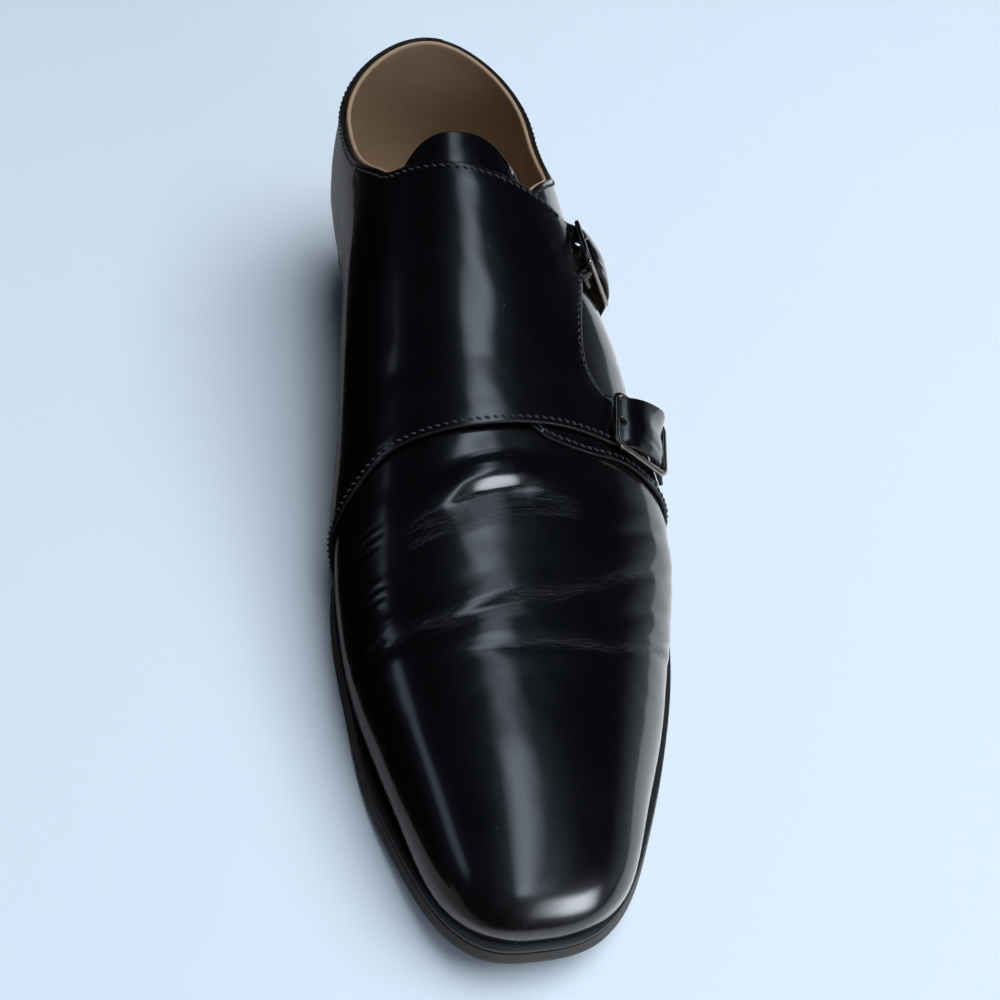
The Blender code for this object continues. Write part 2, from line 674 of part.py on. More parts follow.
def flat_curve(name, rings, depth):
    """A closed 2D curve, filled and extruded: the first ring is the edge, the others are holes."""
    curve = bpy.data.curves.new(name, "CURVE")
    curve.dimensions = "2D"
    curve.fill_mode = "BOTH"
    curve.extrude = depth / 2 * MM
    for ring in rings:
        spline = curve.splines.new("POLY")
        spline.points.add(len(ring) - 1)
        for point, (x, y) in zip(spline.points, ring):
            point.co = (x * MM, y * MM, 0.0, 1.0)
        spline.use_cyclic_u = True
    return curve


def solid_from_curve(name, curve):
    """The curve as a closed mesh, so that it can be joined and cut."""
    helper = bpy.data.objects.new(name, curve)
    CUTTERS.objects.link(helper)
    bpy.context.view_layer.update()
    mesh = bpy.data.meshes.new_from_object(helper.evaluated_get(bpy.context.evaluated_depsgraph_get()))
    bpy.data.objects.remove(helper, do_unlink=True)
    work = bmesh.new()
    work.from_mesh(mesh)
    bmesh.ops.remove_doubles(work, verts=work.verts, dist=1e-6)
    bmesh.ops.recalc_face_normals(work, faces=work.faces)
    work.to_mesh(mesh)
    work.free()
    mesh.name = name
    return mesh


def add_boolean(target, tool, operation):
    tool.hide_render = True
    tool.display_type = "WIRE"
    step = target.modifiers.new(operation.title(), "BOOLEAN")
    step.operation = operation
    step.solver = "EXACT"
    step.object = tool


def helper_object(name, mesh, frame):
    tool = bpy.data.objects.new(name, mesh)
    CUTTERS.objects.link(tool)
    tool.matrix_world = frame
    return tool


def bar_mesh(name, radius, length):
    work = bmesh.new()
    turn = Matrix.Rotation(math.pi / 2, 4, "X")
    bmesh.ops.create_cone(work, cap_ends=True, segments=12, radius1=radius * MM, radius2=radius * MM,
                          depth=length * MM, matrix=turn)
    mesh = bpy.data.meshes.new(name)
    work.to_mesh(mesh)
    work.free()
    return mesh


def box_mesh(name, size, centre):
    work = bmesh.new()
    bmesh.ops.create_cube(work, size=1.0)
    for vertex in work.verts:
        vertex.co = Vector([(vertex.co[k] * size[k] + centre[k]) * MM for k in range(3)])
    mesh = bpy.data.meshes.new(name)
    work.to_mesh(mesh)
    work.free()
    return mesh


def make_buckle(which):
    frame = strap_frame(which)
    hole_long = BUCKLE_LONG - 2 * BUCKLE_RAIL
    hole_wide = BUCKLE_WIDE - 2 * BUCKLE_RAIL
    ring = flat_curve("rim", [rounded_rectangle(BUCKLE_LONG, BUCKLE_WIDE, 3.2),
                              rounded_rectangle(hole_long, hole_wide, 1.4)], BUCKLE_THICK)
    buckle = link("buckle_" + which, solid_from_curve("buckle_" + which, ring), GUNMETAL)
    buckle.matrix_world = frame
    soften = buckle.modifiers.new("Bevel", "BEVEL")
    soften.width = 0.35 * MM
    soften.segments = 1
    soften.limit_method = "ANGLE"
    soften.angle_limit = math.radians(50.0)
    bar = helper_object("centre_bar_" + which, bar_mesh("centre_bar", BAR_RADIUS * 0.98, hole_wide + 1.6), frame)
    add_boolean(buckle, bar, "UNION")
    buckle.data.shade_smooth()
    buckle.data.set_sharp_from_angle(angle=math.radians(35.0))
    make_prong(which, frame)
    make_tab(which, frame)


def make_prong(which, frame):
    """A wire looped round the centre bar, its tip resting on the near bar."""
    loop = BAR_RADIUS + GAP + PRONG_RADIUS
    tip = BUCKLE_LONG / 2 + 0.2
    curve = bpy.data.curves.new("prong_" + which, "CURVE")
    curve.dimensions = "3D"
    curve.bevel_depth = PRONG_RADIUS * MM
    curve.bevel_resolution = 2
    curve.use_fill_caps = True
    path = [(loop * math.sin(a), 0.0, loop * math.cos(a)) for a in np.radians(range(-315 + 30, 1, 30))][::-1]
    path = [(-tip, 0.0, loop + 0.1), (-tip * 0.5, 0.0, loop + 0.1)] + path
    spline = curve.splines.new("POLY")
    spline.points.add(len(path) - 1)
    for point, place in zip(spline.points, path):
        point.co = (place[0] * MM, place[1] * MM, place[2] * MM, 1.0)
    prong = link("prong_" + which, solid_from_curve("prong_" + which, curve), GUNMETAL)
    prong.matrix_world = frame
    prong.data.shade_smooth()


def make_tab(which, frame):
    """The leather loop that holds the centre bar down on the outer quarter."""
    inner = BAR_RADIUS + GAP
    outer = inner + TAB_THICK
    bottom = OVERLAY_GAP + QUARTER + GAP - BUCKLE_RISE[which]
    width = 9.0
    arc = [(outer * math.cos(a), outer * math.sin(a)) for a in np.radians(range(60, 211, 30))]
    edge = arc + [(-1.2, bottom), (4.6, bottom), (5.0, bottom + 0.5), (2.4, -inner)]
    hole = [(inner * math.cos(a), inner * math.sin(a)) for a in np.radians(range(0, 360, 30))]
    mesh = solid_from_curve("tab_" + which, flat_curve("tab", [edge, hole], width))
    mesh.transform(Matrix.Rotation(math.pi / 2, 4, "X"))
    tab = link("buckle_tab_" + which, mesh, BLACK_LEATHER)
    tab.matrix_world = frame
    slot = helper_object("slot_" + which, box_mesh("slot", (6.0, 1.8, 6.0), (0.4, 0.0, bottom + 3.2)), frame)
    add_boolean(tab, slot, "DIFFERENCE")


# ---------------------------------------------------------------- assembly
def stand_on_origin():
    """Centre the shoe over the origin, its lowest point on the ground."""
    bpy.context.view_layer.update()
    graph = bpy.context.evaluated_depsgraph_get()
    corners = []
    for shape in PARTS.objects:
        mesh = shape.evaluated_get(graph).data
        corners += [shape.matrix_world @ vertex.co for vertex in mesh.vertices]
    low = Vector([min(corner[k] for corner in corners) for k in range(3)])
    high = Vector([max(corner[k] for corner in corners) for k in range(3)])
    shift = Vector((-(low.x + high.x) / 2, -(low.y + high.y) / 2, -low.z))
    for shape in list(PARTS.objects) + list(CUTTERS.objects):
        shape.matrix_world = Matrix.Translation(shift) @ shape.matrix_world


clear_scene()
PARTS = bpy.data.collections.new("monk_strap_shoe")
CUTTERS = bpy.data.collections.new("cutters")
bpy.context.scene.collection.children.link(PARTS)
bpy.context.scene.collection.children.link(CUTTERS)

make_outsole()
make_welt()
make_heel()
make_insole()
make_upper()
make_tongue()
make_outer_quarter()
make_inner_quarter()
make_buckle("front")
make_buckle("rear")
stand_on_origin()
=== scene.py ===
"""Looks for the left double monk strap shoe: upper, lining, seams, sole, heel, buckles and stage."""

import json
import math

import bmesh
import bpy
import numpy as np
from bpy.props import FloatProperty, FloatVectorProperty, PointerProperty
from mathutils import Matrix, Quaternion, Vector, geometry

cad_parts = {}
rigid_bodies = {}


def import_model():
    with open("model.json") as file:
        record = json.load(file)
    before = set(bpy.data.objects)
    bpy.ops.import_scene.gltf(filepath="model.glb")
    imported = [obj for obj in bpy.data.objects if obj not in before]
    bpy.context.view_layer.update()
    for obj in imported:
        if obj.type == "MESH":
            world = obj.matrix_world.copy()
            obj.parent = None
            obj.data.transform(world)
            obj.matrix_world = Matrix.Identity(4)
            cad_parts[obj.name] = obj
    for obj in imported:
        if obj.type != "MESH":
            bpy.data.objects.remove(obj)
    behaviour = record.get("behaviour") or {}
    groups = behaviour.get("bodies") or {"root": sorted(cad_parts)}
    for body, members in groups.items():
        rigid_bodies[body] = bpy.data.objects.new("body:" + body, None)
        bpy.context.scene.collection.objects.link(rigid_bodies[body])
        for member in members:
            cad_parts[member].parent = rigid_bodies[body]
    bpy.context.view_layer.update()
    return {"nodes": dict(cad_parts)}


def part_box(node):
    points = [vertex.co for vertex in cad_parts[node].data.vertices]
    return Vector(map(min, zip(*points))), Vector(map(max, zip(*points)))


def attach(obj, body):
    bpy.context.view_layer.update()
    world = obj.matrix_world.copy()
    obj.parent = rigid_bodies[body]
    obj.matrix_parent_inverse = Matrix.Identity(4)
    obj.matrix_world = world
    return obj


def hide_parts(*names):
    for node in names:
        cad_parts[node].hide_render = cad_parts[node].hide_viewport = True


bl_info = {
    "name": "Double Monk Strap Shoe",
    "version": (1, 0, 0),
    "blender": (4, 5, 0),
    "location": "View3D > Sidebar > Shoe",
    "description": "Makes the pieces of a black leather double monk strap shoe, one operator for each",
    "category": "Object",
}

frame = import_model()
MM = 0.001

# ---------------------------------------------------------------- sizes of the shoe, in mm
# Distances are from the tip of the sole along the shoe. Behind HEEL_CENTRE they go round the heel, 1 for
# each degree, to the back seam. Girths are from the crown, towards the outer side (+) or the inner (-).
SOLE_LENGTH = 308.0
HEEL_CENTRE = 268.0
SEAM = HEEL_CENTRE + 90.0
BREAST = 232.0
HEEL_HEIGHT = 22.0
TOE_SPRING = 12.0
TREAD = (95.0, 125.0)
# Thicknesses, and the gaps that keep the solids apart.
OUTSOLE_THICK = 5.0
WELT_THICK = 2.7
INSOLE = 2.5
WALL = 2.0
QUARTER = 1.2
STRAP = 1.4
TONGUE = 2.5
GAP = 0.3
OVERLAY_GAP = 0.4
# The feather line, where the upper meets the welt, and how square the nose and the heel are.
FEATHER_RISE = OUTSOLE_THICK + GAP + WELT_THICK + GAP
TOE_INSET = 4.0
HEEL_INSET = 2.5
NOSE_END = 55.5
FEATHER_NOSE = 2.45
SOLE_NOSE = 2.80
HEEL_ROUND = 2.15
# Where the shell opens, the outer quarter's edge beside the crown, and the quarters' end at the seam.
THROAT = 178.6
FACING = 15.0
QUARTER_END = SEAM - 0.5
SECTION_STEPS = 420

# From the last's own frame to the shoe's frame.
SHIFT = np.array((-8.785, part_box("upper")[0].y / MM - TOE_INSET, 0.0))

# The last at distances from the toe: half widths of the sole and the feather line, how far the sides swell
# beyond it and how far up, sideways place and height of the ridge, and how full the section is.
LAST_COLUMNS = ("along", "sole_in", "sole_out", "feather_in", "feather_out", "swell_in",
                "swell_out", "swell_up", "ridge", "crown", "flat_crown", "flat_flank")
LAST = (
    (5.5, 30.3, 34.4, 30.2, 38.0, 1.0, 0.4, 9.0, -1.0, 40.0, 2.50, 2.00),
    (30.0, 33.5, 40.0, 30.4, 35.5, 1.5, 1.4, 10.0, -1.0, 44.5, 2.50, 2.00),
    (55.0, 39.6, 49.7, 35.0, 42.7, 1.8, 1.8, 12.0, -1.5, 47.0, 2.45, 2.00),
    (80.0, 42.8, 58.5, 40.3, 50.2, 2.0, 2.4, 14.0, -2.5, 50.5, 2.40, 2.00),
    (105.0, 45.2, 63.2, 42.0, 56.0, 2.4, 3.4, 17.0, -3.0, 56.5, 2.30, 1.95),
    (130.0, 43.8, 61.4, 39.0, 56.0, 4.5, 4.6, 21.0, -3.0, 65.0, 2.20, 1.90),
    (155.0, 37.4, 54.2, 33.0, 49.5, 7.0, 5.6, 25.0, -3.0, 75.5, 2.15, 1.85),
    (180.0, 32.2, 46.2, 28.5, 42.0, 9.0, 6.6, 29.0, -2.5, 87.0, 2.12, 1.80),
    (205.0, 29.6, 40.2, 26.5, 36.5, 8.6, 6.8, 29.0, -2.0, 99.0, 2.10, 1.80),
    (235.0, 30.6, 36.4, 28.0, 33.5, 6.2, 5.6, 24.0, -1.0, 115.0, 2.10, 1.85),
    (268.0, 33.5, 34.5, 31.0, 32.0, 4.0, 4.0, 19.0, 0.0, 132.0, 2.20, 1.90),
)
# Height of the topline.
TOPLINE_COLUMNS = ("along", "inner", "outer")
TOPLINE = (
    (172.0, 85.5, 85.5), (178.0, 85.0, 85.0), (190.0, 88.4, 88.4), (203.0, 94.0, 93.6),
    (213.0, 96.2, 94.8), (221.0, 95.0, 92.2), (230.0, 91.0, 87.0), (240.0, 86.4, 82.2),
    (252.0, 83.2, 79.6), (268.0, 82.2, 79.6), (298.0, 84.6, 83.0), (328.0, 90.0, 89.2),
    (358.0, 94.0, 94.0),
)
# Straps: half their width, their middles, the middles of their buckles, how far they go on beyond those, how
# far back their holes are and how far the flap between them stands off.
STRAP_HALF = 7.9
STRAP_CENTRES = {"front": 142.2, "rear": 202.0}
BUCKLE_CENTRES = {"front": (142.0, 54.5), "rear": (202.0, 51.5)}
STRAP_TAIL = 17.5
HOLE_BACK = 9.3
FLAP_LIFT = 0.9
# Edges of the leather pieces as (distance, girth). FEATHER stands for the girth of the feather line.
FEATHER = 999.0
INNER_FRONT_EDGE = ((120.0, -FEATHER), (123.2, -66.0), (127.2, -46.0), (130.6, -35.5), (133.2, -28.0),
                    (134.9, -16.0), (136.2, 0.0), (136.9, 14.0), (136.8, 24.0), (136.2, 34.0),
                    (135.6, 40.0), (134.6, 45.6))
STRAP_FORK = ((150.4, 46.0), (152.6, 41.2), (157.6, 37.8), (165.5, 36.8), (175.0, 37.8),
              (184.0, 40.0), (191.0, 43.0), (194.6, 46.0))
INNER_REAR_EDGE = ((209.2, 36.0), (210.4, 22.0), (212.6, 8.0), (215.0, -6.0))
OUTER_FRONT_EDGE = ((121.0, FEATHER), (125.6, 80.0), (129.4, 60.2), (131.3, 46.5), (130.9, 37.0),
                    (132.2, 27.0), (134.6, 20.0), (138.5, 15.6))
TONGUE_EDGE = ((150.0, 12.0), (156.0, 19.0), (175.0, 22.5), (204.0, 26.0), (218.0, 25.0),
               (224.0, 17.0), (226.0, 0.0))
# Buckles: their outside, their rail, bar and prong, and their height over the last.
BUCKLE_LONG = 25.4
BUCKLE_WIDE = 21.0
BUCKLE_RAIL = 2.0
BUCKLE_THICK = 1.6
BAR_RADIUS = 0.8
PRONG_RADIUS = 0.5
BUCKLE_RISE = {"front": 5.0, "rear": 5.4}
# How far a strap stands off at distances from its buckle's bar, towards the tip: at its toe side, in its
# middle and at its heel side.
HUMP = ((-16.5, 0.0, 0.0, 0.0), (-12.5, 0.1, 0.1, 0.1), (-10.5, 0.9, 0.9, 0.7), (-8.5, 2.1, 2.8, 2.9),
        (-6.5, 2.9, 4.4, 4.8), (-4.5, 3.2, 5.3, 5.9), (-2.5, 3.3, 5.9, 6.8), (-0.5, 3.3, 6.1, 7.4),
        (1.5, 3.2, 6.0, 7.9), (3.5, 3.0, 5.7, 8.4), (5.5, 2.7, 5.3, 8.6), (7.5, 2.2, 4.7, 8.3),
        (9.5, 1.6, 3.8, 7.5), (11.5, 0.8, 2.6, 5.9), (13.5, 0.3, 1.4, 3.8), (15.5, 0.0, 0.5, 1.8),
        (17.5, 0.0, 0.1, 0.6))
# Turn of each buckle out of the leather's own lie, in degrees about the shoe's axes.
BUCKLE_TURN = {"front": (0.8, -3.5, -5.7), "rear": (0.0, 0.0, 0.0)}
# Stitches: their slant, and their share of the distance from one to the next.
STITCH_LEAN = 0.42
STITCH_SHARE = 0.66

# Flex creases over the vamp, each from given points. path: distance from the toe tip at shares of
# the half girth from -1, the inner feather line, over the crown to +1. profile: height across the
# crease, from its toe side (negative) to its heel side. strength: its depth at shares of the half girth.
# lines: where the fine wrinkles lie across it, from, to and how strong. wrinkled: how strong they are along
# it, where that isn't the strength of the crease.
CREASES = (
    # The roll below the flap.
    {"path": ((-0.6, 110.0), (-0.3, 115.5), (-0.16, 118.6), (-0.10, 119.8), (-0.05, 121.0), (0.0, 122.0),
              (0.05, 122.8), (0.12, 123.3), (0.2, 123.2), (0.35, 120.5), (0.6, 114.0)),
     "profile": ((-15.0, 0.0), (-12.0, -0.18), (-8.5, -0.80), (-6.4, -1.36), (-5.2, -1.58), (-4.4, -1.50),
                 (-3.8, -1.18), (-2.7, -0.34), (-1.4, 0.66), (-0.5, 1.30), (0.1, 1.60), (0.9, 1.74),
                 (1.9, 1.70), (3.0, 1.48), (4.2, 1.00), (5.6, 0.30), (6.8, -0.20), (7.8, -0.38),
                 (9.0, -0.32), (12.0, -0.05), (13.0, 0.0)),
     "strength": ((-0.30, 0.0), (-0.22, 0.07), (-0.16, 0.22), (-0.11, 0.46), (-0.06, 0.76), (-0.01, 0.95),
                  (0.04, 1.03), (0.09, 0.98), (0.13, 0.82), (0.17, 0.50), (0.22, 0.18), (0.30, 0.0)),
     "wrinkled": ((-0.36, 0.0), (-0.26, 0.35), (-0.12, 0.67), (0.16, 0.67), (0.25, 0.35), (0.36, 0.0)),
     "lines": (-11.5, -3.6, 1.0)},
    # The long crease across the ball.
    {"path": ((-0.7, 77.5), (-0.44, 79.6), (-0.23, 81.0), (0.02, 84.8), (0.2, 87.4), (0.36, 90.9),
              (0.51, 95.7), (0.7, 101.0)),
     "profile": ((-10.5, 0.0), (-8.5, 0.12), (-6.0, 0.30), (-4.0, 0.18), (-1.2, -0.38), (-0.3, -0.52),
                 (0.5, -0.44), (2.0, 0.06), (4.0, 0.38), (6.5, 0.28), (9.0, 0.06), (11.0, 0.0)),
     "strength": ((-0.72, 0.0), (-0.55, 0.5), (-0.40, 1.0), (0.12, 1.0), (0.24, 0.62), (0.40, 0.40),
                  (0.55, 0.15), (0.66, 0.0)),
     "lines": (-1.6, 2.6, 1.0)},
    # The crease behind the toe.
    {"path": ((-0.2, 72.6), (0.05, 72.6), (0.21, 73.0), (0.41, 72.4), (0.62, 75.4), (0.8, 77.2)),
     "profile": ((-9.0, 0.0), (-6.0, 0.08), (-3.5, 0.04), (-0.9, -0.32), (0.0, -0.44), (0.5, -0.32),
                 (1.8, 0.14), (3.8, 0.38), (6.5, 0.20), (9.0, 0.0)),
     "strength": ((-0.22, 0.0), (-0.06, 0.5), (0.05, 1.0), (0.55, 1.0), (0.72, 0.6), (0.9, 0.0)),
     "lines": (-0.9, 1.1, 0.7)},
)
# Short slanting wrinkles low on both sides of the ball: distance from the toe, share of the half girth,
# lean in mm over the half girth, depth, half width and reach.
SIDE_WRINKLES = (
    (113.6, -0.50, 10.0, 0.26, 0.8, 0.06), (111.0, -0.50, 10.0, 0.30, 0.9, 0.07),
    (108.4, -0.49, 8.0, 0.20, 0.8, 0.05), (96.0, -0.48, 9.0, 0.18, 0.9, 0.05),
    (93.2, -0.48, 8.0, 0.16, 0.8, 0.05), (80.4, -0.54, 6.0, 0.22, 1.2, 0.07),
    (112.0, 0.56, 34.0, 0.40, 2.6, 0.20), (99.0, 0.58, 32.0, 0.42, 2.4, 0.18),
    (88.0, 0.62, 26.0, 0.34, 2.0, 0.14), (80.0, 0.66, 20.0, 0.30, 1.6, 0.14),
)


# ---------------------------------------------------------------- curves and tables
def cubic(xs, ys, level_end=False):
    """Natural cubic through the points, as a function; level_end makes it arrive with no slope."""
    xs, ys = np.asarray(xs, float), np.asarray(ys, float)
    steps = np.diff(xs)
    count = len(xs)
    matrix = np.zeros((count, count))
    right = np.zeros(count)
    matrix[0, 0] = matrix[-1, -1] = 1.0
    for i in range(1, count - 1):
        matrix[i, i - 1:i + 2] = steps[i - 1], 2.0 * (steps[i - 1] + steps[i]), steps[i]
        right[i] = 6.0 * ((ys[i + 1] - ys[i]) / steps[i] - (ys[i] - ys[i - 1]) / steps[i - 1])
    if level_end:
        matrix[-1, -2:] = steps[-1], 2.0 * steps[-1]
        right[-1] = -6.0 * (ys[-1] - ys[-2]) / steps[-1]
    bend = np.linalg.solve(matrix, right)

    def value(x):
        x = np.asarray(x, float)
        i = np.clip(np.searchsorted(xs, x) - 1, 0, count - 2)
        a = (xs[i + 1] - x) / steps[i]
        b = (x - xs[i]) / steps[i]
        curve = ((a ** 3 - a) * bend[i] + (b ** 3 - b) * bend[i + 1]) * steps[i] ** 2 / 6.0
        return a * ys[i] + b * ys[i + 1] + curve

    return value


def eased(points):
    """A curve through given points that doesn't overshoot them, flat beyond both ends."""
    xs, ys = np.array(points, float).T
    run = np.diff(xs)
    rise = np.diff(ys) / run
    slope = np.zeros(len(xs))
    same = rise[:-1] * rise[1:] > 0.0
    mean = 3.0 * (run[:-1] + run[1:]) / ((2.0 * run[1:] + run[:-1]) / np.where(same, rise[:-1], 1.0)
                                         + (run[1:] + 2.0 * run[:-1]) / np.where(same, rise[1:], 1.0))
    slope[1:-1] = np.where(same, mean, 0.0)

    def value(x):
        x = np.clip(np.asarray(x, float), xs[0], xs[-1])
        i = np.clip(np.searchsorted(xs, x) - 1, 0, len(run) - 1)
        t = (x - xs[i]) / run[i]
        return (ys[i] * (1 + 2 * t) * (1 - t) ** 2 + ys[i + 1] * t * t * (3 - 2 * t)
                + run[i] * (slope[i] * t * (1 - t) ** 2 - slope[i + 1] * t * t * (1 - t)))

    return value


def table_curves(columns, rows):
    """A curve over the first column for each column of a table."""
    data = np.array(rows)
    return {name: cubic(data[:, 0], data[:, k], level_end=True) for k, name in enumerate(columns)}


def unit(vectors):
    """The vectors at length 1; a vector is the last axis."""
    return vectors / (np.linalg.norm(vectors, axis=-1, keepdims=True) + 1e-12)


def distances_along(points):
    return np.concatenate([[0.0], np.cumsum(np.linalg.norm(np.diff(points, axis=0), axis=1))])


def smooth_path(points, spacing):
    """A curve through a few (along, round) points, resampled to an even spacing."""
    points = np.asarray(points, float)
    length = distances_along(points)
    curves = [cubic(length, points[:, k]) for k in range(points.shape[1])]
    where = np.linspace(0.0, length[-1], max(2, int(round(length[-1] / spacing)) + 1))
    return np.stack([curve(where) for curve in curves], axis=1)


def smoothstep(low, high, x):
    """Rises smoothly from 0 at low to 1 at high."""
    u = np.clip((np.asarray(x, float) - low) / (high - low), 0.0, 1.0)
    return u * u * (3.0 - 2.0 * u)


def bump(x, width):
    """1 at 0, falling off smoothly over the width on both sides."""
    return np.exp(-(x / width) ** 2)


SHAPE = table_curves(LAST_COLUMNS, LAST)
RIM = table_curves(TOPLINE_COLUMNS, TOPLINE)


# ---------------------------------------------------------------- the last
def underside(along):
    """Height of the sole's underside above the ground."""
    along = np.asarray(along, float)
    spring = TOE_SPRING * (np.clip(TREAD[0] - along, 0.0, None) / TREAD[0]) ** 2
    return spring + HEEL_HEIGHT * smoothstep(TREAD[1], BREAST, along)


def nose_share(along, start, exponent):
    """Share of the full width in the round of the nose, 1 behind it."""
    u = np.clip((along - start) / (NOSE_END - start), 0.0, 1.0)
    return (1.0 - (1.0 - u) ** exponent) ** (1.0 / exponent)


def nose_stations(count, start=TOE_INSET, exponent=FEATHER_NOSE):
    """Distances from the toe tip up to the end of the nose, closest at the tip."""
    turn = np.linspace(0.0, math.pi / 2, count)
    return start + (NOSE_END - start) * (1.0 - np.cos(turn) ** (2.0 / exponent))


def heel_radius(half_width, depth, angle):
    """Radius of the heel's back at an angle from its widest place."""
    side = np.abs(np.cos(angle)) / half_width
    back = np.abs(np.sin(angle)) / depth
    return (side ** HEEL_ROUND + back ** HEEL_ROUND) ** (-1.0 / HEEL_ROUND)


def outline(kind, side, inset, nose_steps=44, side_step=2.5, heel_steps=30, from_along=0.0):
    """Half outline (x, y) from the toe tip to the back of the heel, kind 'sole' or 'feather'."""
    start = inset + (TOE_INSET if kind == "feather" else 0.0)
    exponent = FEATHER_NOSE if kind == "feather" else SOLE_NOSE
    column = SHAPE[kind + ("_out" if side > 0 else "_in")]
    nose = nose_stations(nose_steps + 1, start, exponent)
    count = int((HEEL_CENTRE - NOSE_END) / side_step)
    along = np.concatenate([nose, np.linspace(NOSE_END, HEEL_CENTRE, count + 1)[1:]])
    if from_along > 0.0:
        along = np.concatenate([[from_along], along[along > BREAST + 5.0]])
    half = (column(np.maximum(along, LAST[0][0])) - inset) * nose_share(along, start, exponent)
    points = np.stack([side * half, along], axis=1)
    angle = np.linspace(0.0, math.pi / 2, heel_steps + 1)[1:]
    depth = SOLE_LENGTH - HEEL_CENTRE - inset - (HEEL_INSET if kind == "feather" else 0.0)
    radius = heel_radius(float(column(HEEL_CENTRE)) - inset, depth, angle)
    back = np.stack([side * radius * np.cos(angle), HEEL_CENTRE + radius * np.sin(angle)], axis=1)
    return np.concatenate([points, back])


def section(side, along):
    """Half sections of the upper's outer face, from the feather line up to the crown."""
    along = np.atleast_1d(np.asarray(along, float))
    station = np.minimum(along, HEEL_CENTRE)
    angle = np.radians(np.maximum(along - HEEL_CENTRE, 0.0))
    row = {name: curve(station) for name, curve in SHAPE.items()}
    share = nose_share(station, TOE_INSET, FEATHER_NOSE)
    tag = "_out" if side > 0 else "_in"
    half = np.maximum(row["feather" + tag] * share, 1e-6)
    swell = row["swell" + tag] * share
    swell_up = row["swell_up"] * share
    depth = SOLE_LENGTH - HEEL_INSET - HEEL_CENTRE
    foot = np.where(angle > 0.0, heel_radius(half, depth, angle), half)
    foot_y = np.where(angle > 0.0, HEEL_CENTRE + foot * np.sin(angle), station)
    foot_z = underside(np.minimum(foot_y, SOLE_LENGTH)) + FEATHER_RISE
    top = foot_z + (row["crown"] - foot_z) * share
    up = np.linspace(0.0, 1.0, SECTION_STEPS // 3, endpoint=False)[None]
    low_r = foot[:, None] + swell[:, None] * (1.0 - (1.0 - up) ** 2)
    low_z = foot_z[:, None] + swell_up[:, None] * up
    turn = np.linspace(0.0, math.pi / 2, SECTION_STEPS)[None]
    wide = (foot + swell)[:, None]
    wide_z = (foot_z + swell_up)[:, None]
    high_r = wide * np.cos(turn) ** (2.0 / row["flat_crown"][:, None])
    high_z = wide_z + (top[:, None] - wide_z) * np.sin(turn) ** (2.0 / row["flat_flank"][:, None])
    radius = np.concatenate([low_r, high_r], axis=1)
    height = np.concatenate([low_z, high_z], axis=1)
    lean = np.concatenate([np.zeros_like(low_r), 1.0 - high_r / wide], axis=1)
    fan = angle[:, None] > 0.0
    ridge = (row["ridge"] * share)[:, None]
    x = side * radius * np.cos(angle)[:, None] + np.where(fan, 0.0, ridge * lean)
    y = np.where(fan, HEEL_CENTRE + radius * np.sin(angle)[:, None], station[:, None])
    return np.stack([x, y, height], axis=-1)


def crown_down(side, along):
    """Sections from the crown down with the girth at each of their points."""
    curves = section(side, along)[:, ::-1]
    steps = np.linalg.norm(np.diff(curves, axis=1), axis=2)
    length = np.concatenate([np.zeros((len(curves), 1)), np.cumsum(steps, axis=1)], axis=1)
    return curves, length


def full_girth(side, along):
    """Girth from the crown to the feather line."""
    return crown_down(side, along)[1][:, -1]


def rim_girth(side, along):
    """Girth from the crown to the topline, 0 where the upper is closed over the instep."""
    along = np.atleast_1d(np.asarray(along, float))
    height = RIM["outer" if side > 0 else "inner"](np.clip(along, TOPLINE[0][0], None))
    curves, length = crown_down(side, along)
    found = [np.interp(-height[i], -curves[i, :, 2], length[i]) for i in range(len(curves))]
    return np.where(along < THROAT + 0.01, 0.0, np.array(found))


def rows_at(side, along, girth):
    """Points for whole rows: one distance from the toe and many girths in each row."""
    curves, length = crown_down(side, along)
    girth = np.abs(girth)
    out = np.empty(girth.shape + (3,))
    for i in range(len(curves)):
        for k in range(3):
            out[i, :, k] = np.interp(girth[i], length[i], curves[i, :, k])
        over = girth[i] > length[i, -1]
        if over.any():
            run = unit(curves[i, -1] - curves[i, -12])
            out[i, over] = curves[i, -1] + run * (girth[i, over] - length[i, -1])[:, None]
    return out


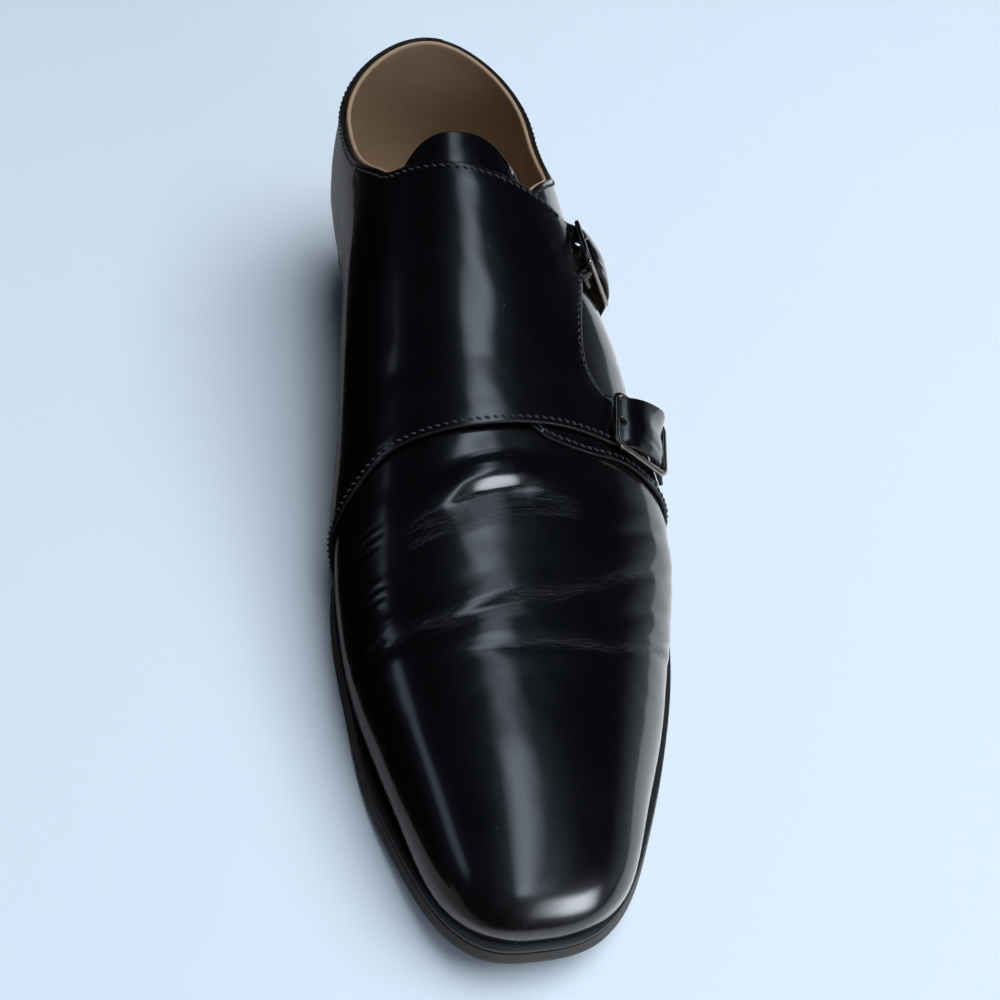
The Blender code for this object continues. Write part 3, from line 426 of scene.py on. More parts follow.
class Form:
    """The last from the ball to the heel as a table over distance from the toe and girth, read back
    smoothly at any point. Girths are positive towards the outer side of the foot."""

    first = 96.0
    reach = 125.0
    step = 0.5

    def __init__(self):
        along = np.arange(self.first, SEAM + 0.5, 1.0)
        girth = np.arange(-self.reach, self.reach + 0.1, self.step)
        inner = rows_at(-1, along, np.tile(np.clip(-girth[girth < 0], 0, None), (len(along), 1)))
        outer = rows_at(1, along, np.tile(girth[girth >= 0], (len(along), 1)))
        self.points = np.concatenate([inner, outer], axis=1)

    def read(self, along, girth):
        table = self.points
        i = np.clip((np.asarray(along, float) - self.first), 0.0, table.shape[0] - 1.001)
        j = np.clip((np.asarray(girth, float) + self.reach) / self.step, 0.0, table.shape[1] - 1.001)
        i0 = i.astype(int)
        j0 = j.astype(int)
        out = np.zeros(i.shape + (3,))
        for da, wa in enumerate(self.weights(i - i0)):
            row = np.clip(i0 + da - 1, 0, table.shape[0] - 1)
            for dg, wg in enumerate(self.weights(j - j0)):
                column = np.clip(j0 + dg - 1, 0, table.shape[1] - 1)
                out += table[row, column] * (wa * wg)[..., None]
        return out

    @staticmethod
    def weights(t):
        return (-0.5 * t + t * t - 0.5 * t ** 3, 1.0 - 2.5 * t * t + 1.5 * t ** 3,
                0.5 * t + 2.0 * t * t - 1.5 * t ** 3, -0.5 * t * t + 0.5 * t ** 3)

    def normal(self, along, girth):
        lengthwise = self.read(along + 0.5, girth) - self.read(along - 0.5, girth)
        around = self.read(along, girth + 0.5) - self.read(along, girth - 0.5)
        return unit(np.cross(around, lengthwise))

    def skin(self, along, girth, offset):
        """Points at a height above the last."""
        along = np.asarray(along, float)
        girth = np.asarray(girth, float)
        return self.read(along, girth) + self.normal(along, girth) * np.asarray(offset)[..., None]


FORM = Form()


def wave_noise(along, girth, size, seed):
    """Smooth unevenness between about -1 and 1 with features of the given size in mm."""
    rng = np.random.default_rng(seed)
    total = np.zeros(np.broadcast(along, girth).shape)
    for _ in range(10):
        turn = rng.uniform(0.0, 2.0 * math.pi)
        rate = 2.0 * math.pi / (size * rng.uniform(0.7, 1.6))
        total += np.sin((along * math.cos(turn) + girth * math.sin(turn)) * rate + rng.uniform(0.0, 6.28))
    return total / 3.2


# ---------------------------------------------------------------- mesh helpers
FAR_FROM_EDGE = 20.0


def grid_faces(rows, columns, start=0, tube=False, ring=False):
    """Quads between rows of points. tube closes each row, ring joins the last row to the first."""
    for i in range(rows if ring else rows - 1):
        here, after = start + i * columns, start + (i + 1) % rows * columns
        for k in range(columns if tube else columns - 1):
            n = (k + 1) % columns
            yield here + k, here + n, after + n, after + k


class Body:
    """Collects points (mm, last's frame) and faces, then writes a Blender object in the shoe's frame.
    flex holds the place and strength of the fine wrinkles, edge the distance to a cut edge in mm."""

    def __init__(self):
        self.points, self.flex, self.edge = [], [], []
        self.faces, self.slots = [], []
        self.count = 0

    def add(self, points, flex=None, edge=FAR_FROM_EDGE):
        points = np.asarray(points, float).reshape(-1, 3)
        start = self.count
        self.points.append(points)
        self.flex.append(np.zeros(points.shape) if flex is None else flex.reshape(-1, 3))
        self.edge.append(np.full(len(points), edge) if np.isscalar(edge) else np.ravel(edge))
        self.count += len(points)
        return start

    def face(self, ring, slot=0):
        self.faces.append(tuple(ring))
        self.slots.append(slot)

    def sheet(self, grid, slot=0, tube=False, ring=False, ends=False, flex=None, edge=FAR_FROM_EDGE):
        """Adds rows of points joined by quads; ends closes both ends of a tube."""
        rows, columns = np.shape(grid)[:2]
        start = self.add(grid, flex, edge)
        for quad in grid_faces(rows, columns, start, tube, ring):
            self.face(quad, slot)
        if ends:
            self.face(range(start + columns - 1, start - 1, -1), slot)
            self.face(range(start + (rows - 1) * columns, start + rows * columns), slot)

    def write(self, name, finishes, slot, sharp=180.0, weld=0.0):
        """The object, with its finishes by name, its angle of sharp edges and its welding distance."""
        if not self.faces:
            raise RuntimeError(name + " has no faces")
        mesh = bpy.data.meshes.new(name)
        mesh.from_pydata(((np.concatenate(self.points) + SHIFT) * MM).tolist(), [], self.faces)
        for finish in finishes:
            mesh.materials.append(finish_of(finish))
        mesh.polygons.foreach_set("material_index", self.slots)
        for label, kind, field, values in (("flex", "FLOAT_VECTOR", "vector", self.flex),
                                           ("edge", "FLOAT", "value", self.edge)):
            values = np.concatenate(values).astype(np.float32).ravel()
            mesh.attributes.new(label, kind, "POINT").data.foreach_set(field, values)
        work = bmesh.new()
        work.from_mesh(mesh)
        if weld > 0.0:
            bmesh.ops.remove_doubles(work, verts=work.verts, dist=weld * MM)
        bmesh.ops.recalc_face_normals(work, faces=work.faces)
        work.to_mesh(mesh)
        work.free()
        mesh.shade_smooth()
        if sharp < 180.0:
            mesh.set_sharp_from_angle(angle=math.radians(sharp))
        piece = bpy.data.objects.new(name, mesh)
        bpy.context.scene.collection.objects.link(piece)
        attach(piece, "root")
        return piece


def inward(ring):
    """Unit inward offsets of a closed loop in (along, round), longer at its corners."""
    ahead = unit(np.roll(ring, -1, axis=0) - ring)
    behind = np.roll(ahead, 1, axis=0)
    area = np.sum(ring[:, 0] * np.roll(ring[:, 1], -1) - np.roll(ring[:, 0], -1) * ring[:, 1])
    turn = 1.0 if area > 0 else -1.0
    normal = np.stack([-(ahead[:, 1] + behind[:, 1]), ahead[:, 0] + behind[:, 0]], axis=1) * turn
    length = np.linalg.norm(normal, axis=1)[:, None]
    return normal / (length + 1e-12) / np.clip(length / 2.0, 0.6, 1.0)


def inside(points, rings):
    """Which points lie in the area that the loops bound."""
    result = np.zeros(len(points), bool)
    for ring in rings:
        for a, b in zip(ring, np.roll(ring, -1, axis=0)):
            if a[1] != b[1]:
                crosses = (a[1] > points[:, 1]) != (b[1] > points[:, 1])
                where = a[0] + (points[:, 1] - a[1]) * (b[0] - a[0]) / (b[1] - a[1])
                result ^= crosses & (points[:, 0] < where)
    return result


def distance_to(along, girth, lines):
    """Distance in (along, round) from each point to the nearest of some lines."""
    points = np.stack([np.ravel(along), np.ravel(girth)], axis=1)
    best = np.full(len(points), 1e9)
    for line in lines:
        for a, b in zip(line[:-1], line[1:]):
            run = b - a
            t = np.clip((points - a) @ run / (run @ run + 1e-12), 0.0, 1.0)
            best = np.minimum(best, np.linalg.norm(points - a - t[:, None] * run, axis=1))
    return best.reshape(np.shape(along))


def closed(rings):
    return [np.concatenate([ring, ring[:1]]) for ring in rings]


def even_loop(ring, spacing):
    """The loop with points added so that none are further apart than the spacing."""
    out = []
    for a, b in zip(ring, np.roll(ring, -1, axis=0)):
        parts = max(1, int(math.ceil(np.linalg.norm(b - a) / spacing)))
        out += [a + (b - a) * k / parts for k in range(parts)]
    return np.array(out)


def spread_points(rings, spacing, fine):
    """Staggered points inside the loops; fine lists boxes ((start, end), step) with their own spacing."""
    corners = np.concatenate(rings)
    areas = [(corners.min(axis=0), corners.max(axis=0), spacing)]
    areas += [(np.array(start), np.array(end), step) for (start, end), step in fine]
    found = []
    for number, (start, end, step) in enumerate(areas):
        rows = np.arange(start[0] + step / 2, end[0], step * 0.87)
        columns = np.arange(start[1] + step / 2, end[1], step)
        a, g = np.meshgrid(rows, columns, indexing="ij")
        g = g + (np.arange(len(rows)) % 2)[:, None] * step / 2
        spots = np.stack([a.ravel(), g.ravel()], axis=1)
        keep = inside(spots, rings)
        for box in areas[number + 1:]:
            keep &= ~np.all((spots > box[0] - step * 0.3) & (spots < box[1] + step * 0.3), axis=1)
        spots = spots[keep]
        found.append(spots[distance_to(*spots.T, closed(rings)) > step * 0.45])
    return found


# The rounded edge of a cut piece from its upper face down: distance in from the edge, share of the height.
CUT_EDGE = ((0.42, 0.985), (0.14, 0.90), (0.0, 0.68), (0.0, 0.30), (0.16, 0.08), (0.5, 0.0))
# How far in from the edge the flat faces of a cut piece start, and the spacing of points along it.
CUT_FLAT = 0.9
CUT_SPACING = 1.1


def patch(name, rings, spacing, low, high, fine=()):
    """A leather piece over the last with rounded edges. The rings are its edge and its holes in
    (along, round); low and high give its under and upper face's height above the last."""
    rings = [even_loop(ring, CUT_SPACING) for ring in rings]
    offsets = [inward(ring) * (1.0 if k == 0 else -1.0) for k, ring in enumerate(rings)]
    inner_rings = [ring + offset * CUT_FLAT for ring, offset in zip(rings, offsets)]
    points = np.concatenate(inner_rings + spread_points(inner_rings, spacing, fine))
    edges = []
    start = 0
    for ring in inner_rings:
        edges += [(start + k, start + (k + 1) % len(ring)) for k in range(len(ring))]
        start += len(ring)
    points = [Vector(point) for point in points]
    found, _, triangles, sources, *_ = geometry.delaunay_2d_cdt(points, edges, [], 0, 1e-5)
    found = np.array(found)
    order = {given: k for k, source in enumerate(sources) for given in source}
    triangles = np.array([tuple(t) for t in triangles])
    triangles = triangles[inside(found[triangles].mean(axis=1), inner_rings)]
    body = Body()

    def layer(flat, share, edge):
        """Adds points at a share of the way from the low face (0) to the high one (1)."""
        base = low(flat[:, 0], flat[:, 1])
        lift = base + (high(flat[:, 0], flat[:, 1]) - base) * share
        flex = np.column_stack([flat, np.zeros(len(flat))])
        return body.add(FORM.skin(flat[:, 0], flat[:, 1], lift), flex, edge)

    near = distance_to(*found.T, closed(rings))
    top = layer(found, 1.0, near)
    for t in triangles:
        body.face(top + t)
    bottom = layer(found, 0.0, near)
    for t in triangles:
        body.face(bottom + t[::-1], 1)
    given = 0
    for ring, offset in zip(rings, offsets):
        count = len(ring)
        rim = np.array([order[given + k] for k in range(count)])
        given += count
        loops = [top + rim]
        for inset, share in CUT_EDGE:
            at = layer(ring + offset * inset, share, inset)
            loops.append(at + np.arange(count))
        loops.append(bottom + rim)
        for lower, upper in zip(loops[:-1], loops[1:]):
            for k in range(count):
                n = (k + 1) % count
                body.face((lower[k], lower[n], upper[n], upper[k]))
    return body.write(name, ["quarter_leather", "lining_leather"], "upper_leather")


def add_tube(body, centres, radius, sides, rounding):
    """A round-ended rod through the centres; radius may be one value for each."""
    centres = np.asarray(centres, float)
    radius = np.broadcast_to(radius, len(centres)).astype(float)
    run = unit(np.gradient(centres, axis=0))
    cap = np.linspace(math.pi / 2, 0.0, rounding + 1)[:-1]
    path = [(centres[0] - run[0] * radius[0] * math.sin(a), run[0], radius[0] * math.cos(a)) for a in cap]
    path += list(zip(centres, run, radius))
    path += [(centres[-1] + run[-1] * radius[-1] * math.sin(a), run[-1], radius[-1] * math.cos(a))
             for a in cap[::-1]]
    side = np.array((0.0, 0.0, 1.0) if abs(run[0][2]) < 0.9 else (1.0, 0.0, 0.0))
    turn = np.linspace(0.0, 2.0 * math.pi, sides, endpoint=False)[:, None]
    rings = []
    for centre, tangent, size in path:
        side = unit(side - tangent * (side @ tangent))
        round_it = np.cos(turn) * side + np.sin(turn) * np.cross(tangent, side)
        rings.append(centre + max(size, 1e-3) * round_it)
    body.sheet(rings, tube=True, ends=True)


def add_stitches(body, path, height, seed, start=0.0, end=0.0):
    """A row of slanting stitches along an (along, round) path on a face at the given height."""
    look = bpy.context.scene.shoe_stitching
    thread = look.thickness
    length = distances_along(FORM.skin(path[:, 0], path[:, 1], height(path[:, 0], path[:, 1])))
    count = max(1, int((length[-1] - start - end) / look.pitch))
    pitch = (length[-1] - start - end) / count
    rng = np.random.default_rng(seed)
    share = np.linspace(-0.5, 0.5, 7)
    arch = np.cos(share * math.pi) ** 0.7
    for k in range(count):
        middle = start + pitch * (k + 0.5) + rng.uniform(-0.04, 0.04) * pitch
        run = share * pitch * STITCH_SHARE
        a = np.interp(middle + run, length, path[:, 0])
        g = np.interp(middle + run, length, path[:, 1])
        way = unit(np.array((a[-1] - a[0], g[-1] - g[0])))
        lean = STITCH_LEAN * (1.0 if way[1] > 0.0 else -1.0)
        a = a - abs(way[1]) * run * lean
        g = g + abs(way[0]) * run * lean * (1.0 if way[0] > 0.0 else -1.0)
        lift = height(a, g) + thread * (-0.42 + 0.86 * arch + rng.uniform(-0.06, 0.06))
        add_tube(body, FORM.skin(a, g, lift), thread / 2 * (0.55 + 0.45 * arch), 8, 1)


def foot_girth(side, along):
    """Girth down to where the quarters' edges lie, just above the feather line."""
    return full_girth(side, along) - 0.4


def resolve(path):
    """The path with FEATHER replaced by the girth down to the feather line."""
    points = []
    for along, girth in path:
        if abs(girth) == FEATHER:
            side = math.copysign(1.0, girth)
            girth = side * float(foot_girth(side, along)[0])
        points.append((along, girth))
    return points


def edge_path(side, first, last, spacing, girth_of):
    """An (along, round) path at the girth that girth_of gives."""
    along = np.linspace(first, last, max(2, int(abs(last - first) / spacing) + 1))
    return np.stack([along, side * girth_of(side, along)], axis=1)


def back_path(side):
    """Down the back seam, from below the topline to the feather line."""
    rim, foot = (float(girth_of(side, QUARTER_END)[0]) for girth_of in (rim_girth, foot_girth))
    return np.stack([np.full(39, QUARTER_END), side * np.linspace(rim, foot, 40)[1:]], axis=1)


def shifted(path, distance):
    """The path moved sideways in (along, round), to the left of its run."""
    run = unit(np.gradient(path, axis=0))
    return path + np.stack([-run[:, 1], run[:, 0]], axis=1) * distance


# ---------------------------------------------------------------- relief of the leather
def crease_relief(along, share):
    """Height of the flex creases, the distance to the nearest of them, and where fine wrinkles lie."""
    height = np.zeros(np.broadcast(along, share).shape)
    closest = np.full(height.shape, 99.0)
    wrinkled = np.zeros(height.shape)
    for crease in CREASES:
        path = np.array(crease["path"])
        d = along - cubic(path[:, 0], path[:, 1])(np.clip(share, path[0, 0], path[-1, 0]))
        height = height + eased(crease["profile"])(d) * eased(crease["strength"])(share)
        low, high, amount = crease["lines"]
        band = amount * smoothstep(low - 1.2, low + 0.6, d) * (1.0 - smoothstep(high - 0.6, high + 1.0, d))
        band = band * np.clip(eased(crease.get("wrinkled", crease["strength"]))(share) * 1.5, 0.0, 1.0)
        closest = np.where((band > wrinkled) | (np.abs(closest) > 90.0), d, closest)
        wrinkled = np.maximum(wrinkled, band)
    return height, closest, wrinkled


def side_wrinkles(along, share):
    """Short slanting wrinkles low on both sides of the ball."""
    height = np.zeros(np.broadcast(along, share).shape)
    for at, middle, lean, depth, width, half in SIDE_WRINKLES:
        d = along - at - lean * (share - middle)
        reach = bump(share - middle, half)
        height -= depth * bump(d, width) * reach
        height += 0.5 * depth * bump(d - 1.9 * width, 1.2 * width) * reach
        height += 0.4 * depth * bump(d + 1.9 * width, 1.2 * width) * reach
    return height


def quarter_swell(along, girth):
    """How much fuller the outer quarter is between the straps than the last."""
    return 1.5 * bump(along - 177.0, 17.0) * bump(girth - 58.0, 22.0)


def strap_height(along, girth):
    """Underside of the inner quarter: on the vamp, then over the outer quarter and the bars."""
    base = 0.2 + (QUARTER + 0.3) * smoothstep(-26.0, 14.0, girth)
    lifted = 1.0 - np.clip((along - 137.0) / 19.5, 0.0, 1.0) ** 2
    base = base + (FLAP_LIFT * lifted * smoothstep(-42.0, -18.0, girth)
                   * (1.0 - smoothstep(22.0, 40.0, girth)))
    base = base - 0.22 * smoothstep(58.0, 68.0, girth) + quarter_swell(along, girth)
    table = np.array(HUMP)
    toe_side, middle, heel_side = (eased(table[:, (0, k)]) for k in (1, 2, 3))
    for which, centre in STRAP_CENTRES.items():
        across = (along - centre) / STRAP_HALF
        near = 1.0 - smoothstep(1.0 + 1.0 / STRAP_HALF, 1.0 + 4.0 / STRAP_HALF, np.abs(across))
        beyond = girth - BUCKLE_CENTRES[which][1]
        rise = middle(beyond)
        edge = np.clip(np.abs(across), 0.0, 1.2) ** 1.6
        if which == "front":
            rise = rise + edge * np.where(across < 0.0, toe_side(beyond) - rise, heel_side(beyond) - rise)
        else:
            rise = rise * (1.0 - 0.25 * edge)
        puckers = bump(across + 0.66, 0.22) * bump(beyond - 1.5, 6.0)
        puckers = 0.30 * np.sin(across * 15.0 + beyond * 0.30) * puckers
        base = base + near * (rise + puckers)
    return base


# ---------------------------------------------------------------- finishes
class Nodes:
    """Adds nodes to a tree. Each value is a number, a colour or another node's output."""

    def __init__(self, tree):
        self.tree = tree

    def join(self, value, socket):
        if isinstance(value, bpy.types.NodeSocket):
            self.tree.links.new(value, socket)
        else:
            socket.default_value = (*value[:3], 1.0) if socket.type == "RGBA" else value

    def add(self, kind, *values, output=0, **named):
        """One output of a new node. Capitalised names are its inputs, the others its settings."""
        node = self.tree.nodes.new("ShaderNode" + kind)
        for name in list(filter(str.islower, named)):
            setattr(node, name, named.pop(name))
        for socket, value in zip(node.inputs, values):
            self.join(value, socket)
        for name, value in named.items():
            self.join(value, node.inputs[name])
        return node.outputs[output]

    def math(self, operation, *values, clamp=False):
        return self.add("Math", *values, operation=operation, use_clamp=clamp)

    def multiply(self, *values):
        total = values[0]
        for value in values[1:]:
            total = self.math("MULTIPLY", total, value)
        return total

    def scaled_add(self, value, scale, base):
        return self.math("MULTIPLY_ADD", value, scale, base)

    def spread(self, value, low, high, to_low=0.0, to_high=1.0):
        return self.add("MapRange", value, low, high, to_low, to_high, interpolation_type="SMOOTHSTEP")

    def noise(self, vector, scale, detail=2.0, roughness=0.5, distortion=0.0):
        return self.add("TexNoise", Vector=vector, Scale=scale, Detail=detail, Roughness=roughness,
                        Distortion=distortion)

    def stretched(self, vector, scale, turn=(0.0, 0.0, 0.0)):
        return self.add("Mapping", Vector=vector, Scale=scale, Rotation=turn)

    def mix(self, share, first, second):
        node = self.tree.nodes.new("ShaderNodeMix")
        node.data_type = "RGBA"
        for number, value in ((0, share), (6, first), (7, second)):
            self.join(value, node.inputs[number])
        return node.outputs[2]

    def bump(self, height, strength, distance, **before):
        return self.add("Bump", Strength=strength, Distance=distance, Height=height, **before)

    def effect(self, name, **values):
        """The outputs of one of the shared node groups, which is made when it is first asked for."""
        node = self.tree.nodes.new("ShaderNodeGroup")
        node.node_tree = bpy.data.node_groups.get(name) or EFFECTS[name](name)
        for label, value in values.items():
            self.join(value, node.inputs[label])
        return node.outputs

    def give(self, **outputs):
        """Adds a group's outputs, all of them plain values."""
        for label in outputs:
            self.tree.interface.new_socket(name=label, in_out="OUTPUT", socket_type="NodeSocketFloat")
        end = self.tree.nodes.new("NodeGroupOutput")
        for label, value in outputs.items():
            self.tree.links.new(value, end.inputs[label])
        return self.tree


def new_effect(name, vector, **values):
    """An empty shader node group with one vector and some values as inputs: its nodes and its inputs."""
    tree = bpy.data.node_groups.new(name, "ShaderNodeTree")
    tree.interface.new_socket(name=vector, in_out="INPUT", socket_type="NodeSocketVector")
    for label, value in values.items():
        socket = tree.interface.new_socket(name=label, in_out="INPUT", socket_type="NodeSocketFloat")
        socket.default_value = value
    return Nodes(tree), tree.nodes.new("NodeGroupInput").outputs


def leather_grain(name):
    """Calf grain: pores between fine cells, softened by a wider unevenness."""
    nodes, given = new_effect(name, "Vector", Pores=1.0)
    place = given["Vector"]
    cells = nodes.add("TexVoronoi", feature="DISTANCE_TO_EDGE", Scale=1700.0, Vector=place)
    pores = nodes.multiply(nodes.spread(cells, 0.0, 0.12), given["Pores"])
    fine = nodes.multiply(nodes.noise(place, 2600.0, 3.0, 0.6), 0.5)
    wide = nodes.noise(place, 160.0, 3.0)
    return nodes.give(Height=nodes.scaled_add(wide, 0.9, nodes.scaled_add(pores, 0.35, fine)), Tone=wide)


def flex_lines(name):
    """Fine parallel wrinkles beside a crease. Place holds the distance to the crease and the girth
    in mm, Strength fades them."""
    nodes, given = new_effect(name, "Place", Strength=0.0)

    def streaks(scale, roughness=0.5, distortion=0.0):
        return nodes.noise(nodes.stretched(given["Place"], scale), 1.0, 2.0, roughness, distortion)

    ridged = nodes.math("ABSOLUTE", nodes.math("SUBTRACT", streaks((1.10, 0.190, 0.0), 0.5, 0.95), 0.5))
    both = nodes.scaled_add(streaks((2.5, 0.62, 0.0), 0.6, 1.0), 0.5, nodes.spread(ridged, 0.0, 0.15))
    broken = nodes.spread(streaks((0.30, 0.060, 0.0)), 0.36, 0.56)
    mask = nodes.math("MULTIPLY", given["Strength"], broken, clamp=True)
    return nodes.give(Height=nodes.multiply(both, mask), Mask=mask)


def polish_marks(name):
    """Fine scratches from wiping and standing, a few dust specks and a wide haze."""
    nodes, given = new_effect(name, "Vector", Amount=1.0)
    place, amount = given["Vector"], given["Amount"]
    lines = []
    for turn, seed in (((0.0, 0.0, 0.5), 0.0), ((0.0, 0.3, 2.3), 3.1), ((0.4, 0.0, 1.2), 7.7)):
        run = nodes.stretched(place, (1300.0, 22.0, 22.0), turn)
        run = nodes.add("VectorMath", run, (seed, seed * 2.0, 0.0))
        lines.append(nodes.spread(nodes.noise(run, 1.0, 1.0, 0.4), 0.715, 0.76))
    scratches = nodes.math("MAXIMUM", nodes.math("MAXIMUM", lines[0], lines[1]), lines[2])
    where = nodes.spread(nodes.noise(place, 55.0), 0.50, 0.66)
    dots = nodes.add("TexVoronoi", Scale=330.0, Vector=place).node.outputs
    size = nodes.spread(dots["Distance"], 0.045, 0.10, 1.0, 0.0)
    few = nodes.spread(nodes.add("SeparateColor", dots["Color"]), 0.955, 0.965)
    haze = nodes.spread(nodes.noise(place, 38.0, 3.0, 0.55), 0.42, 0.70)
    return nodes.give(Scratches=nodes.multiply(scratches, where, amount),
                      Specks=nodes.multiply(size, few, amount), Haze=haze)


def edge_wear(name):
    """Where handling has rubbed an edge, from the distance to it in mm."""
    nodes, given = new_effect(name, "Vector", Edge=FAR_FROM_EDGE, Width=0.8)
    near = nodes.spread(nodes.math("DIVIDE", given["Edge"], given["Width"]), 0.0, 1.0, 1.0, 0.0)
    uneven = nodes.spread(nodes.noise(given["Vector"], 420.0, 3.0, 0.6), 0.35, 0.70)
    return nodes.give(Mask=nodes.multiply(near, uneven))


EFFECTS = {"leather_grain": leather_grain, "flex_lines": flex_lines, "polish_marks": polish_marks,
           "edge_wear": edge_wear}
BLACK = (0.0, 0.0, 0.0)
ROOM_COLOUR = (0.72, 0.83, 0.95)


def toned(colour, share):
    return tuple(part * share for part in colour)


class Finish(Nodes):
    """The nodes of a new material, with its place on the shoe in metres."""

    def __init__(self, name):
        self.material = bpy.data.materials.new(name)
        self.material.use_nodes = True
        super().__init__(self.material.node_tree)
        self.place = self.add("TexCoord", output="Object")

    def attribute(self, name, output):
        return self.add("Attribute", attribute_type="GEOMETRY", attribute_name=name, output=output)

    def marked(self, pores, amount):
        """The outputs of the grain and of the marks."""
        return (self.effect("leather_grain", Vector=self.place, Pores=pores),
                self.effect("polish_marks", Vector=self.place, Amount=amount))

    def shade(self, colour, **inputs):
        """Sets the shader's inputs, named with _ for each space, and gives back the material."""
        shader = self.tree.nodes["Principled BSDF"]
        self.join(colour, shader.inputs["Base Color"])
        for label, value in inputs.items():
            self.join(value, shader.inputs[label.replace("_", " ")])
        return self.material


def black_leather(name, flexed):
    """Polished black calf. flexed adds the fine wrinkles that the vamp has along its creases."""
    look = bpy.context.scene.shoe_leather
    nodes = Finish(name)
    grain, marks = nodes.marked(1.0, look.marks)
    near = nodes.attribute("edge", "Fac")
    edge = nodes.effect("edge_wear", Vector=nodes.place, Edge=near, Width=0.7)["Mask"]
    cut = nodes.spread(near, 0.10, 0.60, 1.0, 0.0)
    normal = nodes.bump(grain["Height"], look.grain, 0.00006)
    rough = nodes.scaled_add(marks["Haze"], 0.07, look.roughness)
    rough = nodes.scaled_add(marks["Scratches"], 0.16, rough)
    rough = nodes.scaled_add(cut, 0.30, rough)
    if flexed:
        flex = nodes.attribute("flex", "Vector")
        lines = nodes.effect("flex_lines", Place=flex, Strength=nodes.add("SeparateXYZ", flex, output="Z"))
        normal = nodes.bump(lines["Height"], look.wrinkles, 0.00042, Normal=normal)
        rough = nodes.scaled_add(lines["Mask"], 0.14, rough)
    normal = nodes.bump(marks["Scratches"], 0.30, 0.00003, Normal=normal)
    colour = nodes.mix(marks["Specks"], look.colour, (0.16, 0.17, 0.18))
    colour = nodes.mix(nodes.multiply(edge, 0.5), colour, (0.016, 0.016, 0.017))
    return nodes.shade(colour, Roughness=rough, Normal=normal, Coat_Weight=nodes.scaled_add(cut, -0.85, 1.0),
                       IOR=1.5, Specular_IOR_Level=0.5, Coat_Roughness=0.06, Coat_IOR=1.6)


def lining_leather(name, colour, wear):
    """Unpolished pigskin-like lining; wear darkens it in patches where the foot rubs."""
    nodes = Finish(name)
    grain, marks = nodes.marked(1.6, 0.5)
    base = nodes.mix(nodes.multiply(grain["Tone"], 0.35), colour, toned(colour, 0.55))
    if wear > 0.0:
        base = nodes.mix(nodes.multiply(marks["Haze"], wear), base, toned(colour, 0.35))
    return nodes.shade(base, Roughness=nodes.scaled_add(marks["Haze"], -0.12, 0.66),
                       Normal=nodes.bump(grain["Height"], 0.5, 0.00012))


def edge_black(name, colour, streaks):
    """Black edge dressing over cut leather: faint layers along the edge and rubbed places."""
    nodes = Finish(name)
    grain, marks = nodes.marked(0.4, 0.8)
    layers = nodes.noise(nodes.stretched(nodes.place, (60.0, 60.0, 2600.0)), 1.0, 3.0, 0.6)
    normal = nodes.bump(layers, streaks, 0.00010)
    return nodes.shade(nodes.mix(nodes.multiply(marks["Haze"], 0.5), colour, toned(colour, 1.9)),
                       Roughness=nodes.scaled_add(layers, 0.22, 0.38),
                       Normal=nodes.bump(grain["Height"], 0.15, 0.00008, Normal=normal))


def sole_leather(name):
    """The dark stained underside of the outsole, scuffed at the tread."""
    nodes = Finish(name)
    grain, marks = nodes.marked(1.2, 1.0)
    scuff = nodes.scaled_add(marks["Scratches"], 0.6, nodes.multiply(marks["Haze"], 0.4))
    return nodes.shade(nodes.mix(scuff, (0.020, 0.019, 0.018), (0.085, 0.075, 0.066)),
                       Roughness=nodes.scaled_add(grain["Tone"], 0.2, 0.42),
                       Normal=nodes.bump(grain["Height"], 0.5, 0.00016))


def rubber(name):
    """The matt black rubber of the top lift."""
    nodes = Finish(name)
    speckle = nodes.noise(nodes.place, 1500.0, 3.0, 0.7)
    colour = nodes.mix(nodes.noise(nodes.place, 60.0, 3.0), (0.016, 0.016, 0.017), (0.040, 0.039, 0.038))
    return nodes.shade(colour, Roughness=nodes.scaled_add(speckle, 0.25, 0.50),
                       Normal=nodes.bump(speckle, 0.4, 0.00012))


def gunmetal(name):
    """Polished dark metal with wiping scratches and duller handled places."""
    look = bpy.context.scene.shoe_buckles
    nodes = Finish(name)
    marks = nodes.effect("polish_marks", Vector=nodes.place, Amount=1.0)
    rough = nodes.scaled_add(marks["Haze"], 0.10, look.roughness)
    cast = nodes.multiply(nodes.noise(nodes.place, 900.0), 0.5)
    return nodes.shade(nodes.mix(cast, look.metal, toned(look.metal, 0.6)), Metallic=1.0,
                       Roughness=nodes.scaled_add(marks["Scratches"], 0.2, rough),
                       Normal=nodes.bump(marks["Scratches"], 0.25, 0.00002))


def waxed_thread(name):
    """Waxed black thread with its twist."""
    colour = bpy.context.scene.shoe_stitching.thread
    nodes = Finish(name)
    twist = nodes.add("TexWave", nodes.place, bands_direction="DIAGONAL", Scale=1300.0, Distortion=1.5,
                      output="Fac")
    return nodes.shade(nodes.mix(nodes.multiply(twist, 0.5), colour, toned(colour, 0.3)),
                       Roughness=nodes.scaled_add(twist, 0.12, 0.34), Normal=nodes.bump(twist, 0.6, 0.00008))


